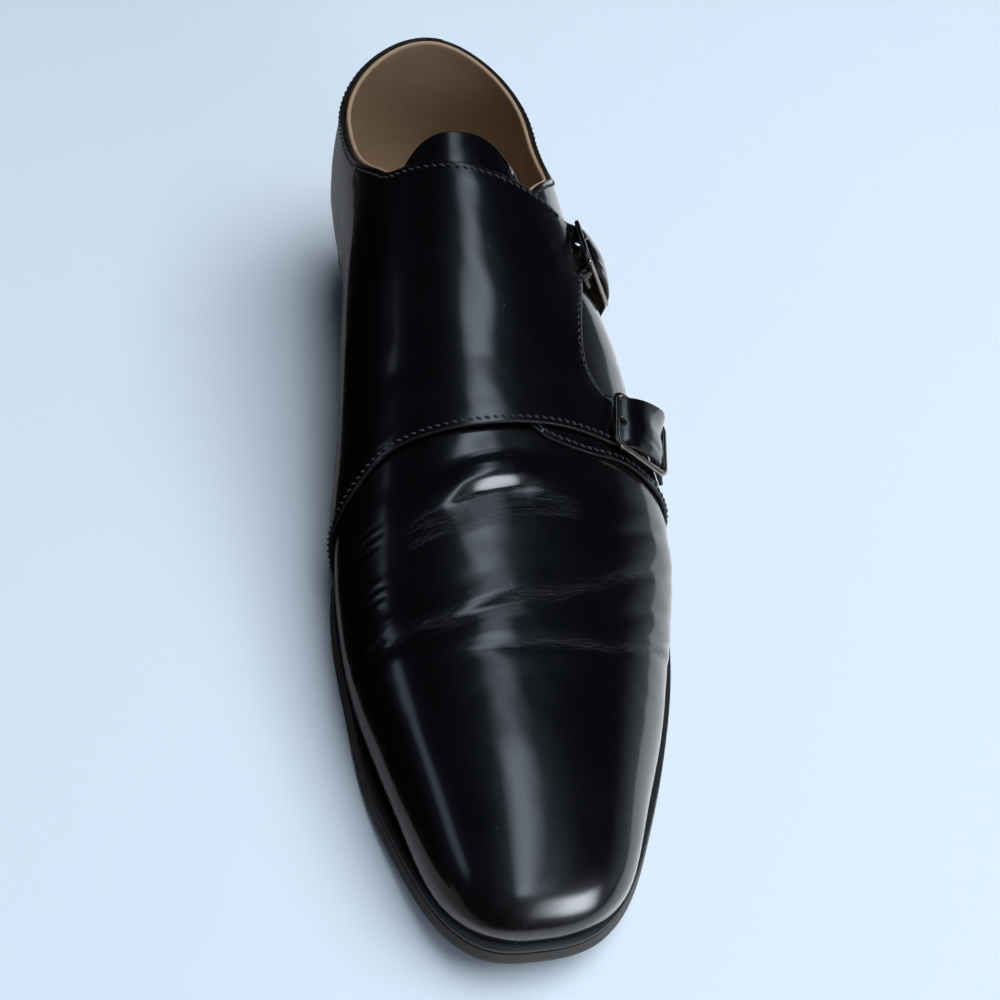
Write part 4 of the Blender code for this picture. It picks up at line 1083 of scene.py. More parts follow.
def floor_paper(name):
    """Pale paper, which far from the shoe is as pale as the room behind it."""
    colour = bpy.context.scene.shoe_stage.floor
    nodes = Finish(name)
    far = nodes.add("VectorMath", nodes.place, operation="LENGTH", output="Value")
    seen = nodes.multiply(nodes.spread(far, 0.7, 2.3), nodes.add("LightPath", output="Is Camera Ray"))
    uneven = nodes.multiply(nodes.noise(nodes.place, 3.0, 3.0), 0.4)
    paper = nodes.mix(uneven, colour, toned(colour, 0.93))
    return nodes.shade(nodes.mix(seen, paper, BLACK), Emission_Color=nodes.mix(seen, BLACK, ROOM_COLOUR),
                       Emission_Strength=1.0, Roughness=0.55, Specular_IOR_Level=0.3,
                       Normal=nodes.bump(nodes.noise(nodes.place, 900.0), 0.2, 0.0001))


def dim_floor_paper(name):
    """The floor as the polish sees it, with painted shade: dim along the inner side and far out in front."""
    nodes = Finish(name)
    side, front, _ = nodes.add("SeparateXYZ", nodes.place).node.outputs
    level = nodes.multiply(nodes.spread(side, -0.060, -0.010, 0.18, 1.0), nodes.spread(front, -0.34, -0.16),
                           nodes.scaled_add(nodes.noise(nodes.place, 900.0), 0.05, 0.97))
    # Painted shade: the floor's reflection is darkened along the inner side and far out in front.
    painted_shade_grey = nodes.mix(level, (0.004, 0.004, 0.004), (0.84, 0.84, 0.85))
    return nodes.shade(painted_shade_grey, Specular_IOR_Level=0.0)


def flag_cloth(name):
    """Black with hardly a sheen, for the card that paints a dark reflection along the inner side."""
    nodes = Finish(name)
    weave = nodes.mix(nodes.noise(nodes.place, 900.0), (0.002, 0.002, 0.002), (0.006, 0.006, 0.006))
    return nodes.shade(weave, Specular_IOR_Level=0.0)


def finish_of(name):
    """One of the finishes, made the first time it is asked for."""
    lining = bpy.context.scene.shoe_leather.lining
    maker, *details = {
        "vamp_leather": (black_leather, True),
        "quarter_leather": (black_leather, False),
        "lining_leather": (lining_leather, lining, 0.0),
        "sock_leather": (lining_leather, toned(lining, 0.9), 0.45),
        "welt_edge": (edge_black, (0.014, 0.015, 0.016), 0.3),
        "sole_edge_black": (edge_black, (0.026, 0.024, 0.021), 0.45),
        "sole_underside": (sole_leather,),
        "heel_rubber": (rubber,),
        "buckle_gunmetal": (gunmetal,),
        "waxed_thread": (waxed_thread,),
        "floor_paper": (floor_paper,),
        "dim_floor_paper": (dim_floor_paper,),
        "flag_cloth": (flag_cloth,),
    }[name]
    return bpy.data.materials.get(name) or maker(name, *details)


# ---------------------------------------------------------------- settings
def colour_setting(name, description, default):
    return FloatVectorProperty(name=name, description=description, default=default, size=3, subtype="COLOR",
                               min=0.0, max=1.0)


def share_setting(name, description, default, low=0.0, high=1.0):
    return FloatProperty(name=name, description=description, default=default, min=low, max=high,
                         subtype="FACTOR")


class ShoeLeatherSettings(bpy.types.PropertyGroup):
    """Colour and finish of the upper and its lining."""

    colour: colour_setting("Leather colour", "Colour of the dyed upper leather", (0.0006, 0.0008, 0.0011))
    lining: colour_setting("Lining colour", "Colour of the lining and sock", (0.36, 0.25, 0.16))
    roughness: share_setting("Polish", "Roughness of the polished leather; lower is glossier", 0.27, 0.05)
    grain: share_setting("Grain", "Strength of the leather's fine grain", 0.10)
    wrinkles: share_setting("Fine wrinkles", "Strength of the fine wrinkles in the creases", 0.8)
    creases: share_setting("Creases", "Depth of the flex creases, 1 is a worn shoe's", 1.0, 0.0, 2.0)
    marks: share_setting("Marks", "Amount of fine scratches and dust", 0.5, 0.0, 2.0)


class ShoeStitchingSettings(bpy.types.PropertyGroup):
    """Thread and spacing of the seams."""

    pitch: FloatProperty(name="Stitch length", description="Distance between stitches in millimetres",
                         default=2.45, min=1.5, max=6.0)
    thickness: FloatProperty(name="Thread", description="Thickness of the thread in millimetres",
                             default=0.66, min=0.2, max=1.5)
    margin: FloatProperty(name="Margin", description="Distance of the seam from the edge in millimetres",
                          default=1.6, min=1.0, max=5.0)
    thread: colour_setting("Thread colour", "Colour of the thread", (0.045, 0.046, 0.050))


class ShoeBuckleSettings(bpy.types.PropertyGroup):
    """Metal of the buckles."""

    metal: colour_setting("Metal colour", "Colour of the buckles and prongs", (0.36, 0.33, 0.30))
    roughness: share_setting("Metal roughness", "Roughness of the polished metal", 0.12, 0.02)


class ShoeStageSettings(bpy.types.PropertyGroup):
    """Floor, light and camera."""

    floor: colour_setting("Floor colour", "Colour of the plain floor", (0.70, 0.79, 0.88))
    light: FloatProperty(name="Light", description="Strength of all the lamps, 1 is the usual level",
                         default=1.0, min=0.1, max=4.0)
    view_width: FloatProperty(name="Field of view", description="The camera's field of view",
                              default=math.radians(45.4), min=0.2, max=1.6, subtype="ANGLE")


# ---------------------------------------------------------------- upper
class ShoePiece:
    """What the operators of the shoe share."""

    bl_options = {"REGISTER", "UNDO"}

    @classmethod
    def poll(cls, context):
        return "body:root" in bpy.data.objects


# The vamp's columns: how many on each side of the crown, and how much they crowd towards the feather line.
VAMP_HALF = 128
VAMP_CROWDING = 0.72 * math.pi / 2


class SHOE_OT_vamp(ShoePiece, bpy.types.Operator):
    """Make the vamp: the plain front of the upper with its flex creases"""

    bl_idname = "shoe.vamp"
    bl_label = "Vamp"

    def execute(self, context):
        half = VAMP_HALF
        along = np.concatenate([nose_stations(64), np.arange(56.4, 68.0, 0.8), np.arange(68.4, 137.5, 0.42),
                                np.arange(138.5, 156.0, 1.6)])
        share = np.sin(np.linspace(-1.0, 1.0, 2 * half + 1) * VAMP_CROWDING) / math.sin(VAMP_CROWDING)
        inner, outer = (part * full_girth(side, along)[:, None]
                        for side, part in ((-1, share[:half]), (1, share[half:])))
        grid = np.concatenate([rows_at(-1, along, inner), rows_at(1, along, outer)], axis=1)
        girth = np.concatenate([inner, outer], axis=1)
        grid[0] = grid[0].mean(axis=0)
        normal = unit(np.cross(np.gradient(grid, axis=1), np.gradient(grid, axis=0)))
        normal[0] = (0.0, -1.0, 0.0)
        rows, columns = np.broadcast_arrays(along[:, None], share[None])
        creases, closest, strength = crease_relief(rows, columns)
        relief = (creases + side_wrinkles(rows, columns)) * context.scene.shoe_leather.creases
        calm = 1.0 - smoothstep(133.5, 137.5, rows)
        relief = relief * calm * (1.0 - smoothstep(0.90, 0.99, np.abs(columns)))
        relief += 0.050 * wave_noise(rows, girth, 26.0, 3) * smoothstep(10.0, 40.0, rows)
        relief += 0.020 * wave_noise(rows, girth, 9.0, 8) * smoothstep(20.0, 60.0, rows) * calm
        relief[0] = 0.0
        # The leather is drawn smooth over the crown, less so behind the toe.
        near_crown = 1.0 - smoothstep(8.0, 48.0, np.abs(np.arange(1 - half, half)))
        near_crown = 0.25 * near_crown * (1.0 - 0.85 * smoothstep(70.0, 110.0, rows[:, 1:-1]))
        for _ in range(170):
            grid[:, 1:-1] += near_crown[..., None] * (grid[:, :-2] - 2.0 * grid[:, 1:-1] + grid[:, 2:])
        foot = np.minimum(grid[:, 0, 2], grid[:, -1, 2])
        foot[0] = foot[1]
        fuller = 1.3 * (1.0 - smoothstep(0.0, 11.0, grid[:, :, 2] - foot[:, None]))
        fuller = fuller * (1.0 - smoothstep(14.0, 44.0, rows))
        grid = grid + normal * relief[..., None] + unit(normal * (1.0, 1.0, 0.0)) * fuller[..., None]
        tuck = grid[:, [0, -1]] + np.array(((1.6, 0.0, -0.9), (-1.6, 0.0, -0.9)))
        tuck[0, :, 1] += 1.0
        flex = np.stack([closest, girth, strength * calm], axis=2)
        body = Body()
        body.sheet(np.concatenate([tuck[:, :1], grid, tuck[:, 1:]], axis=1),
                   flex=np.pad(flex, ((0, 0), (1, 1), (0, 0)), mode="edge"))
        vamp = body.write("vamp", ["vamp_leather"], "upper_leather", weld=0.002)
        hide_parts("upper")
        return {"FINISHED"}


# Depth of the lining's layers below the upper's outer face, and how far each is rounded down at the rim.
LINING_LAYERS = ((0.5, 1.2), (0.55, 0.35), (0.9, 0.05), (1.5, 0.05), (1.9, 0.35), (WALL, 1.2))


class SHOE_OT_lining(ShoePiece, bpy.types.Operator):
    """Make the lining: the shell's inner face, up to the collar and the throat"""

    bl_idname = "shoe.lining"
    bl_label = "Lining"

    def execute(self, context):
        stations = np.concatenate([nose_stations(26), np.arange(59.0, THROAT, 3.0), [THROAT],
                                   THROAT + np.array([0.5, 1.5, 3.2, 5.8]),
                                   np.arange(THROAT + 8.0, HEEL_CENTRE, 3.0),
                                   HEEL_CENTRE + np.arange(0.0, 90.1, 3.0)])
        shut = stations <= THROAT
        opening = slice(np.count_nonzero(shut) - 1, None)
        step = 0.6
        body = Body()
        for side in (1, -1):
            full, rim = full_girth(side, stations)[:, None], rim_girth(side, stations)[:, None]
            girth = full + (rim - full) * np.linspace(0.0, 1.0, 35)
            outer = rows_at(side, stations, girth)
            lengthwise = (rows_at(side, np.minimum(stations + step, SEAM), girth)
                          - rows_at(side, np.maximum(stations - step, TOE_INSET + 0.01), girth))
            around = (rows_at(side, stations, girth + step)
                      - rows_at(side, stations, np.maximum(girth - step, 0.0)))
            normal = unit(np.cross(around * side, lengthwise))
            layers = [outer - normal * depth for depth, _ in LINING_LAYERS]
            for layer in layers:
                layer[shut, -1, 0] = outer[shut, -1, 0]
                layer[-1, :, 0] = 0.0
                layer[0] = layer[0].mean(axis=0)
            body.sheet(layers[-1])
            first = layers[0][opening]
            rounding = [first[:, -1] + (first[:, -2] - first[:, -1]) * 1.5]
            for layer, (_, drop) in zip(layers[:-1], LINING_LAYERS):
                edge = layer[opening, -1]
                rounding.append(edge + unit(layer[opening, -2] - edge) * (drop - 0.6))
            body.sheet(rounding + [layers[-1][opening, -1]])
        lining = body.write("lining", ["lining_leather"], "insole_leather", weld=0.004)
        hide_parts("upper")
        return {"FINISHED"}


def tail(which):
    """Edge of one strap from its front side round the square-cut tip to its rear side."""
    centre = STRAP_CENTRES[which]
    end = BUCKLE_CENTRES[which][1] + STRAP_TAIL
    front = centre - STRAP_HALF
    corner = 2.5
    turn = np.radians([15.0, 30.0, 45.0, 60.0, 75.0])
    half = [(front, girth) for girth in np.arange(47.0, end - corner, 1.2)] + [(front, end - corner)]
    half += [(front + corner * (1 - math.cos(a)), end - corner * (1 - math.sin(a))) for a in turn]
    half += [(front + corner, end)]
    return np.array(half + [(2 * centre - a, g) for a, g in half[::-1]])


def prong_hole(centre, girth):
    turn = np.radians(np.arange(0.0, 360.0, 30.0))
    return np.stack([centre + 0.75 * np.cos(turn), girth + 0.95 * np.sin(turn)], axis=1)


def inner_edges():
    """The inner quarter's edge in named stretches, in order round the piece."""
    top = smooth_path(INNER_REAR_EDGE, 1.2)
    rim = edge_path(-1, 221.0, QUARTER_END, 1.5, rim_girth)
    # The flap's rear corner turns into the topline.
    corner = smooth_path([*top[-2:], (217.5, -17.0), *rim[:2]], 1.2)
    return {"flap": smooth_path(resolve(INNER_FRONT_EDGE), 1.2), "front": tail("front"),
            "fork": smooth_path(STRAP_FORK, 1.2)[1:-1], "rear": tail("rear"),
            "top": np.concatenate([top[:-2], corner[:-1]]), "rim": rim[1:], "back": back_path(-1),
            "foot": edge_path(-1, QUARTER_END, 120.0, 1.6, foot_girth)[1:-1]}


def outer_edges():
    """The outer quarter's edge in named stretches, in order round the piece."""
    return {"front": smooth_path(resolve(OUTER_FRONT_EDGE), 1.2),
            "facing": np.array([(along, FACING) for along in np.arange(141.0, 195.0, 2.0)]),
            "rim": edge_path(1, 197.5, QUARTER_END, 1.5, rim_girth), "back": back_path(1),
            "foot": edge_path(1, QUARTER_END, 118.0, 1.6, foot_girth)[1:-1]}


def inner_top(along, girth):
    return strap_height(along, girth) + STRAP


def outer_low(along, girth):
    return 0.15 + quarter_swell(along, girth)


def outer_top(along, girth):
    return outer_low(along, girth) + QUARTER


def relieved(top, lines, seed):
    """The top face with a shallow groove under each seam, a thinned edge and slight unevenness."""
    margin = bpy.context.scene.shoe_stitching.margin

    def height(along, girth):
        near = distance_to(along, girth, lines)
        groove = 0.16 * bump(near - margin, 0.55)
        puff = 0.10 * bump(near - margin - 2.4, 1.6) + 0.05 * bump(near - 0.9, 0.6)
        waves = 0.07 * wave_noise(along, girth, 30.0, seed)
        waves = waves + 0.025 * wave_noise(along, girth, 11.0, seed + 1)
        return top(along, girth) - groove + puff + waves * smoothstep(0.0, 6.0, near)

    return height


class SHOE_OT_outer_quarter(ShoePiece, bpy.types.Operator):
    """Make the outer quarter, which the straps are buckled to"""

    bl_idname = "shoe.outer_quarter"
    bl_label = "Outer quarter"

    def execute(self, context):
        edges = outer_edges()
        top = relieved(outer_top, [edges["front"], edges["rim"]], 31)
        quarter = patch("outer_quarter_leather", [np.concatenate(list(edges.values()))], 1.9, outer_low, top)
        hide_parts("outer_quarter")
        return {"FINISHED"}


class SHOE_OT_inner_quarter(ShoePiece, bpy.types.Operator):
    """Make the inner quarter with the flap over the instep and its two straps"""

    bl_idname = "shoe.inner_quarter"
    bl_label = "Inner quarter and straps"

    def execute(self, context):
        edges = inner_edges()
        rings = [np.concatenate(list(edges.values()))]
        fine = []
        for which, (centre, girth) in BUCKLE_CENTRES.items():
            rings.append(prong_hole(centre, girth - HOLE_BACK))
            middle = STRAP_CENTRES[which]
            fine.append((((middle - 7.2, girth - 13.0), (middle + 7.2, girth + 18.0)), 0.8))
        top = relieved(inner_top, [edges[name] for name in ("flap", "fork", "top", "rim")], 44)
        quarter = patch("inner_quarter_leather", rings, 1.7, strap_height, top, fine)
        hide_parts("inner_quarter")
        return {"FINISHED"}


class SHOE_OT_tongue(ShoePiece, bpy.types.Operator):
    """Make the tongue under the straps"""

    bl_idname = "shoe.tongue"
    bl_label = "Tongue"

    def execute(self, context):
        side = smooth_path(TONGUE_EDGE, 1.4)
        edge = np.concatenate([side, side[::-1][1:] * (1.0, -1.0)])
        depth = WALL + 1.5 * OVERLAY_GAP + TONGUE

        def low(along, girth):
            return np.full(np.shape(along), -depth)

        def high(along, girth):
            near = distance_to(along, girth, [edge])
            thick = TONGUE * (0.62 + 0.38 * smoothstep(0.0, 7.0, near))
            return thick - depth - 0.12 * bump(near - 3.0, 0.5)

        tongue = patch("tongue_leather", [edge], 1.8, low, high)
        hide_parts("tongue")
        return {"FINISHED"}


# The back strip from its edge to its middle: share of its half width, height and distance to the edge.
BACK_STRIP = ((-1.0, 1.45, 0.0), (-0.985, 1.85, 0.2), (-0.94, 2.30, 0.5), (-0.86, 2.52, 1.0),
              (-0.6, 2.60, 3.0), (-0.3, 2.62, 5.0), (0.0, 2.63, 6.0))


class SHOE_OT_back_strip(ShoePiece, bpy.types.Operator):
    """Make the narrow strip that covers the seam up the back of the heel"""

    bl_idname = "shoe.back_strip"
    bl_label = "Back strip"

    def execute(self, context):
        half = np.array(BACK_STRIP)
        across, height, edge = np.concatenate([half, half[-2::-1] * (-1.0, 1.0, 1.0)]).T
        down = np.linspace(0.0, 1.0, 60)[:, None]
        across = across * (5.2 + 4.4 * down ** 1.5)
        along = SEAM - np.abs(across) / 0.62
        sides = []
        for side in (-1, 1):
            rim, full = (girth_of(side, along.ravel()).reshape(along.shape)
                         for girth_of in (rim_girth, full_girth))
            sides.append(side * (rim + (full - 0.6 - rim) * down))
        grid = FORM.skin(along, np.where(across < 0.0, *sides), np.where(down > 0.0, height, 1.3))
        middle = len(BACK_STRIP) - 1
        grid[:, middle, 0] = 0.5 * (grid[:, middle - 1, 0] + grid[:, middle + 1, 0])
        body = Body()
        body.sheet(grid, edge=np.broadcast_to(edge, along.shape))
        body.write("back_strip", ["quarter_leather"], "upper_leather")
        return {"FINISHED"}


class SHOE_OT_stitching(ShoePiece, bpy.types.Operator):
    """Make the rows of stitches along the flap, the straps, the topline and the quarters"""

    bl_idname = "shoe.stitching"
    bl_label = "Stitching"

    def execute(self, context):
        margin = context.scene.shoe_stitching.margin
        inner, outer = inner_edges(), outer_edges()
        top = np.concatenate([inner["top"], inner["rim"]])
        body = Body()
        add_stitches(body, shifted(inner["flap"], -margin), inner_top, 1, start=2.0)
        add_stitches(body, shifted(inner["fork"], -margin), inner_top, 2)
        add_stitches(body, shifted(top, -margin), inner_top, 3, start=1.0, end=7.0)
        body.write("inner_seams", ["waxed_thread"], "upper_leather")
        body = Body()
        add_stitches(body, shifted(outer["front"], margin), outer_top, 4, start=2.0)
        add_stitches(body, shifted(outer["rim"], margin), outer_top, 5, start=12.0, end=7.0)
        body.write("outer_seams", ["waxed_thread"], "upper_leather")
        return {"FINISHED"}


# ---------------------------------------------------------------- bottom of the shoe
def raised(flat, rise):
    """Flat (x, y) places lifted to a height above the sole's underside."""
    height = underside(np.minimum(flat[..., 1], SOLE_LENGTH)) + rise
    return np.concatenate([flat, height[..., None]], axis=-1)


def halves(kind, inset, **steps):
    """The outer and the inner half outline."""
    return [outline(kind, side, inset, **steps) for side in (1, -1)]


def sole_rings(rows):
    """Closed rings of a sole plate from rows of (kind, inset, rise)."""
    rings = []
    for kind, inset, rise in rows:
        outer, inner = halves(kind, inset)
        rings.append(raised(np.concatenate([outer, inner[::-1][1:-1]]), rise))
    return rings


def between(outer, inner, columns):
    """Rows of places from one half outline to the other."""
    share = np.linspace(0.0, 1.0, columns)[:, None]
    return outer[:, None] * (1.0 - share) + inner[:, None] * share


class SHOE_OT_welt(ShoePiece, bpy.types.Operator):
    """Make the welt round the foot of the upper"""

    bl_idname = "shoe.welt"
    bl_label = "Welt"

    def execute(self, context):
        low = OUTSOLE_THICK + 0.12
        high = OUTSOLE_THICK + GAP + WELT_THICK
        rows = (("feather", 6.0, low), ("sole", 3.6, low), ("sole", 2.0, low), ("sole", 1.22, low + 0.25),
                ("sole", 1.08, low + 0.75), ("sole", 1.05, low + 1.4), ("sole", 1.10, high - 0.75),
                ("sole", 1.30, high - 0.28), ("sole", 1.7, high - 0.06), ("sole", 2.4, high + 0.03),
                ("feather", 0.6, high), ("feather", -0.2, high - 0.08), ("feather", 6.0, high - 0.1))
        body = Body()
        body.sheet(sole_rings(rows), tube=True, ring=True)
        welt = body.write("welt_strip", ["welt_edge"], "sole_edge", weld=0.002)
        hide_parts("welt")
        return {"FINISHED"}


class SHOE_OT_outsole(ShoePiece, bpy.types.Operator):
    """Make the outsole with its dressed edge and stained underside"""

    bl_idname = "shoe.outsole"
    bl_label = "Outsole"

    def execute(self, context):
        rows = (("sole", 3.0, 0.0), ("sole", 1.3, 0.05), ("sole", 0.45, 0.28), ("sole", 0.12, 0.65),
                ("sole", 0.02, 1.1), ("sole", 0.12, 1.7), ("sole", 0.38, 2.6), ("sole", 0.72, 3.5),
                ("sole", 0.92, 4.4), ("sole", 1.10, 4.85), ("sole", 2.2, OUTSOLE_THICK - 0.05))
        body = Body()
        body.sheet(sole_rings(rows), tube=True)
        for (kind, inset, rise), slot in ((rows[0], 1), (rows[-1], 0)):
            body.sheet(raised(between(*halves(kind, inset), 17), rise), slot)
        sole = body.write("outsole_leather", ["sole_edge_black", "sole_underside"], "sole_edge", sharp=50.0,
                          weld=0.01)
        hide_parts("outsole")
        return {"FINISHED"}


def heel_ring(inset, height, breast):
    """A ring of the heel at a height, cut off straight at the breast."""
    outer, inner = halves("sole", inset, side_step=3.0, from_along=breast)
    front = np.linspace(inner[0], outer[0], 14)[1:-1]
    ring = np.concatenate([outer, inner[::-1][1:], front])
    return np.column_stack([ring, np.full(len(ring), height)])


LIFTS = 3
LIFTS_LOW, LIFTS_HIGH = 6.15, HEEL_HEIGHT - 0.1
# Each lift of the stack: share of its thickness, height from there and inset of its rounded edges.
LIFT = ((0, 0.0, 0.42), (0, 0.22, 0.12), (0, 0.6, 0.0), (1, -0.6, 0.0), (1, -0.22, 0.12), (1, 0.0, 0.42))
# The top lift from the ground up: inset, height and place of its breast.
TOP_LIFT = ((4.2, 0.0, 4.4), (3.5, 0.12, 3.8), (3.05, 0.45, 3.3), (2.85, 1.1, 3.1), (2.72, 3.2, 3.0),
            (2.68, 5.4, 3.0), (2.85, 5.85, 3.1), (3.2, 6.0, 3.3))


class SHOE_OT_heel(ShoePiece, bpy.types.Operator):
    """Make the stacked heel and its rubber top lift"""

    bl_idname = "shoe.heel"
    bl_label = "Heel"

    def execute(self, context):
        rings = []
        whole = LIFTS_HIGH - LIFTS_LOW
        for lift in range(LIFTS):
            for end, further, inset in LIFT:
                share = (lift + end) / LIFTS + further / whole
                breast = BREAST + 3.0 - 2.9 * share + 0.5 * inset
                rings.append(heel_ring(2.55 - 1.5 * share + inset, LIFTS_LOW + whole * share, breast))
        body = Body()
        body.sheet(rings, tube=True, ends=True)
        stack = body.write("heel_lifts", ["sole_edge_black"], "sole_edge", sharp=40.0)
        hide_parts("heel_stack")
        body = Body()
        body.sheet([heel_ring(inset, height, BREAST + breast) for inset, height, breast in TOP_LIFT],
                   tube=True, ends=True)
        top_lift = body.write("top_lift", ["heel_rubber"], "top_lift_rubber", sharp=40.0)
        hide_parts("heel_top_lift")
        return {"FINISHED"}


class SHOE_OT_sock(ShoePiece, bpy.types.Operator):
    """Make the sock that lines the insole, and finish the insole below it"""

    bl_idname = "shoe.sock"
    bl_label = "Sock and insole"

    def execute(self, context):
        columns = 33
        outer, inner = halves("feather", WALL + 0.6, nose_steps=24, side_step=4.0, heel_steps=20)
        flat = between(outer, inner, columns)
        across, along = flat[..., 0], flat[..., 1]
        rim = np.abs(np.linspace(-1.0, 1.0, columns))
        print_of_foot = 0.5 * bump(along - 275.0, 24.0) * (1.0 - rim ** 3)
        rise = FEATHER_RISE + INSOLE + 0.7 + 0.9 * rim ** 6 - print_of_foot
        body = Body()
        body.sheet(raised(flat, rise + 0.12 * wave_noise(along, across, 30.0, 21)))
        body.write("sock", ["sock_leather"], "insole_leather", weld=0.01)
        insole = frame["nodes"]["insole"]
        insole.data.materials.clear()
        insole.data.materials.append(finish_of("lining_leather"))
        return {"FINISHED"}


# ---------------------------------------------------------------- buckles
def strap_frame(which):
    """Matrix at a buckle's centre: X along the strap to its tip, Y towards the heel, Z outwards."""
    along, girth = (np.array([value]) for value in BUCKLE_CENTRES[which])
    z_axis = Vector(FORM.normal(along, girth)[0])
    x_axis = Vector((FORM.read(along, girth + 1.0) - FORM.read(along, girth - 1.0))[0]).normalized()
    x_axis = (x_axis - z_axis * x_axis.dot(z_axis)).normalized()
    turn = Vector(BUCKLE_TURN[which])
    lie = Matrix.Rotation(math.radians(turn.length), 3, turn if turn.length else z_axis)
    matrix = (lie @ Matrix((x_axis, z_axis.cross(x_axis), z_axis)).transposed()).to_4x4()
    matrix.translation = Vector(FORM.skin(along, girth, [BUCKLE_RISE[which]])[0])
    return matrix


def placed(matrix, points):
    return np.asarray(points, float) @ np.array(matrix.to_3x3()).T + np.array(matrix.translation)


def rounded_path(long_side, wide_side, radius):
    """Closed centreline of a rounded rectangle with its outward directions, as rows of four numbers."""
    corners = []
    for long_way, wide_way, start in ((1, 1, 0.0), (-1, 1, 90.0), (-1, -1, 180.0), (1, -1, 270.0)):
        turn = np.radians(start + np.linspace(0.0, 90.0, 11))
        out = np.stack([np.cos(turn), np.sin(turn)], axis=1)
        middle = np.array(((long_side / 2 - radius) * long_way, (wide_side / 2 - radius) * wide_way))
        corners.append(np.concatenate([middle + radius * out, out], axis=1))
    share = np.linspace(0.0, 1.0, 8, endpoint=False)[:, None]
    path = []
    for corner, after in zip(corners, corners[1:] + corners[:1]):
        path += [corner[:-1], corner[-1] * (1 - share) + after[0] * share]
    return np.concatenate(path)


def buckle_frame(which, matrix):
    path = rounded_path(BUCKLE_LONG - BUCKLE_RAIL, BUCKLE_WIDE - BUCKLE_RAIL, 2.7)
    turn = np.radians(np.arange(0.0, 360.0, 22.5))
    outwards, upwards = (size / 2 * np.sign(wave) * np.abs(wave) ** power for size, wave, power in
                         ((BUCKLE_RAIL, np.cos(turn), 0.72), (BUCKLE_THICK, np.sin(turn), 0.80)))
    rings = np.empty((len(path), len(turn), 3))
    rings[..., :2] = path[:, None, :2] + unit(path[:, None, 2:]) * outwards[:, None]
    rings[..., 2] = upwards - 0.001 * path[:, :1] ** 2
    body = Body()
    body.sheet(placed(matrix, rings), tube=True, ring=True)
    reach = (BUCKLE_WIDE - BUCKLE_RAIL) / 2
    add_tube(body, placed(matrix, [(0.0, y, 0.0) for y in np.linspace(-reach, reach, 9)]), BAR_RADIUS, 16, 1)
    buckle = body.write("buckle_frame_" + which, ["buckle_gunmetal"], "buckle_metal", sharp=38.0)
    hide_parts("buckle_" + which)


def buckle_prong(which, matrix):
    loop = BAR_RADIUS + 0.15 + PRONG_RADIUS
    tip = BUCKLE_LONG / 2 - 1.7
    path = [(-tip, 0.0, BUCKLE_THICK / 2 + 0.30)]
    path += [(-tip * share, 0.0, height) for share, height in
             ((0.95, 0.25), (0.86, -0.75), (0.70, -1.8), (0.48, -1.3), (0.22, 0.35))]
    path += [(loop * math.sin(a), 0.0, loop * math.cos(a)) for a in np.radians(np.arange(0.0, 301.0, 15.0))]
    size = np.full(len(path), PRONG_RADIUS)
    size[:2] *= (1.15, 1.05)
    body = Body()
    add_tube(body, placed(matrix, path), size, 12, 4)
    prong = body.write("prong_pin_" + which, ["buckle_gunmetal"], "buckle_metal", sharp=60.0)
    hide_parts("prong_" + which)


def buckle_tab(which, matrix):
    """The leather loop round a buckle's bar, cut out in the middle for the prong."""
    inner = BAR_RADIUS + 0.2
    bottom = OVERLAY_GAP + QUARTER + 0.1 - BUCKLE_RISE[which]
    turn = np.radians(np.arange(75.0, 250.0, 12.5))
    arc, back = ([(radius * math.cos(a), radius * math.sin(a)) for a in turn]
                 for radius in (inner + 0.7, inner))
    loop = arc + [(-0.9, bottom + 0.5), (-0.2, bottom), (5.6, bottom - 0.1), (5.9, bottom + 0.3),
                  (5.4, bottom + 0.75), (2.0, bottom + 0.9), (0.2, -inner - 0.1)] + back[:0:-1]
    body = Body()
    for side in (-1.0, 1.0):
        strip = [[(x, y * side, z) for x, z in loop] for y in (-4.5, -4.38, -4.15, -1.15, -1.0, -0.95)]
        body.sheet(placed(matrix, strip), tube=True, ends=True, edge=1.0)
    tab = body.write("bar_tab_" + which, ["quarter_leather"], "upper_leather", sharp=50.0)
    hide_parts("buckle_tab_" + which)


class SHOE_OT_buckles(ShoePiece, bpy.types.Operator):
    """Make the two buckles with their bars, prongs and leather tabs"""

    bl_idname = "shoe.buckles"
    bl_label = "Buckles"

    def execute(self, context):
        for which in BUCKLE_CENTRES:
            matrix = strap_frame(which)
            for make in (buckle_frame, buckle_prong, buckle_tab):
                make(which, matrix)
        return {"FINISHED"}


# ---------------------------------------------------------------- stage
SKY = (0.72, 0.83, 1.0)
# Each lamp's name, place in metres, aim (None is straight down), width and length, colour, brightness,
# roll in degrees, and how far it fades in over its width and its length (None is not at all, and unseen
# in the polish).
LAMPS = (
    ("overhead_strip", (0.185, -0.60, 1.30), None, (0.44, 3.4), SKY, 2.3, 2.0, (0.48, 0.06)),
    ("overhead_wide", (0.42, -1.50, 1.34), None, (1.0, 2.2), SKY, 0.22, 0.0, (0.48, 0.48)),
    ("overhead_toe", (0.36, -2.05, 1.31), None, (0.70, 1.5), SKY, 0.8, 0.0, (0.48, 0.48)),
    ("front_window", (0.62, -1.365, 0.37), (0.0, -0.10, 0.04), (0.96, 0.60),
     (0.84, 0.90, 1.0), 8.4, -20.0, (0.42, 0.40)),
    ("fill", (0.8, -0.1, 2.2), (0.0, 0.0, 0.0), (2.0, 2.0), (0.93, 0.97, 1.0), 5.1, 0.0, None),
    ("outer_haze", (1.7, -0.4, 0.10), (0.0, -0.3, 0.10), (3.4, 1.9),
     (0.72, 0.80, 0.92), 0.34, 0.0, (0.3, 0.49)),
    ("side_strip", (-1.35, -0.35, 0.83), (0.0, 0.0, 0.04), (2.0, 0.55),
     (0.66, 0.74, 1.0), 0.72, 0.0, (0.2, 0.48)),
)
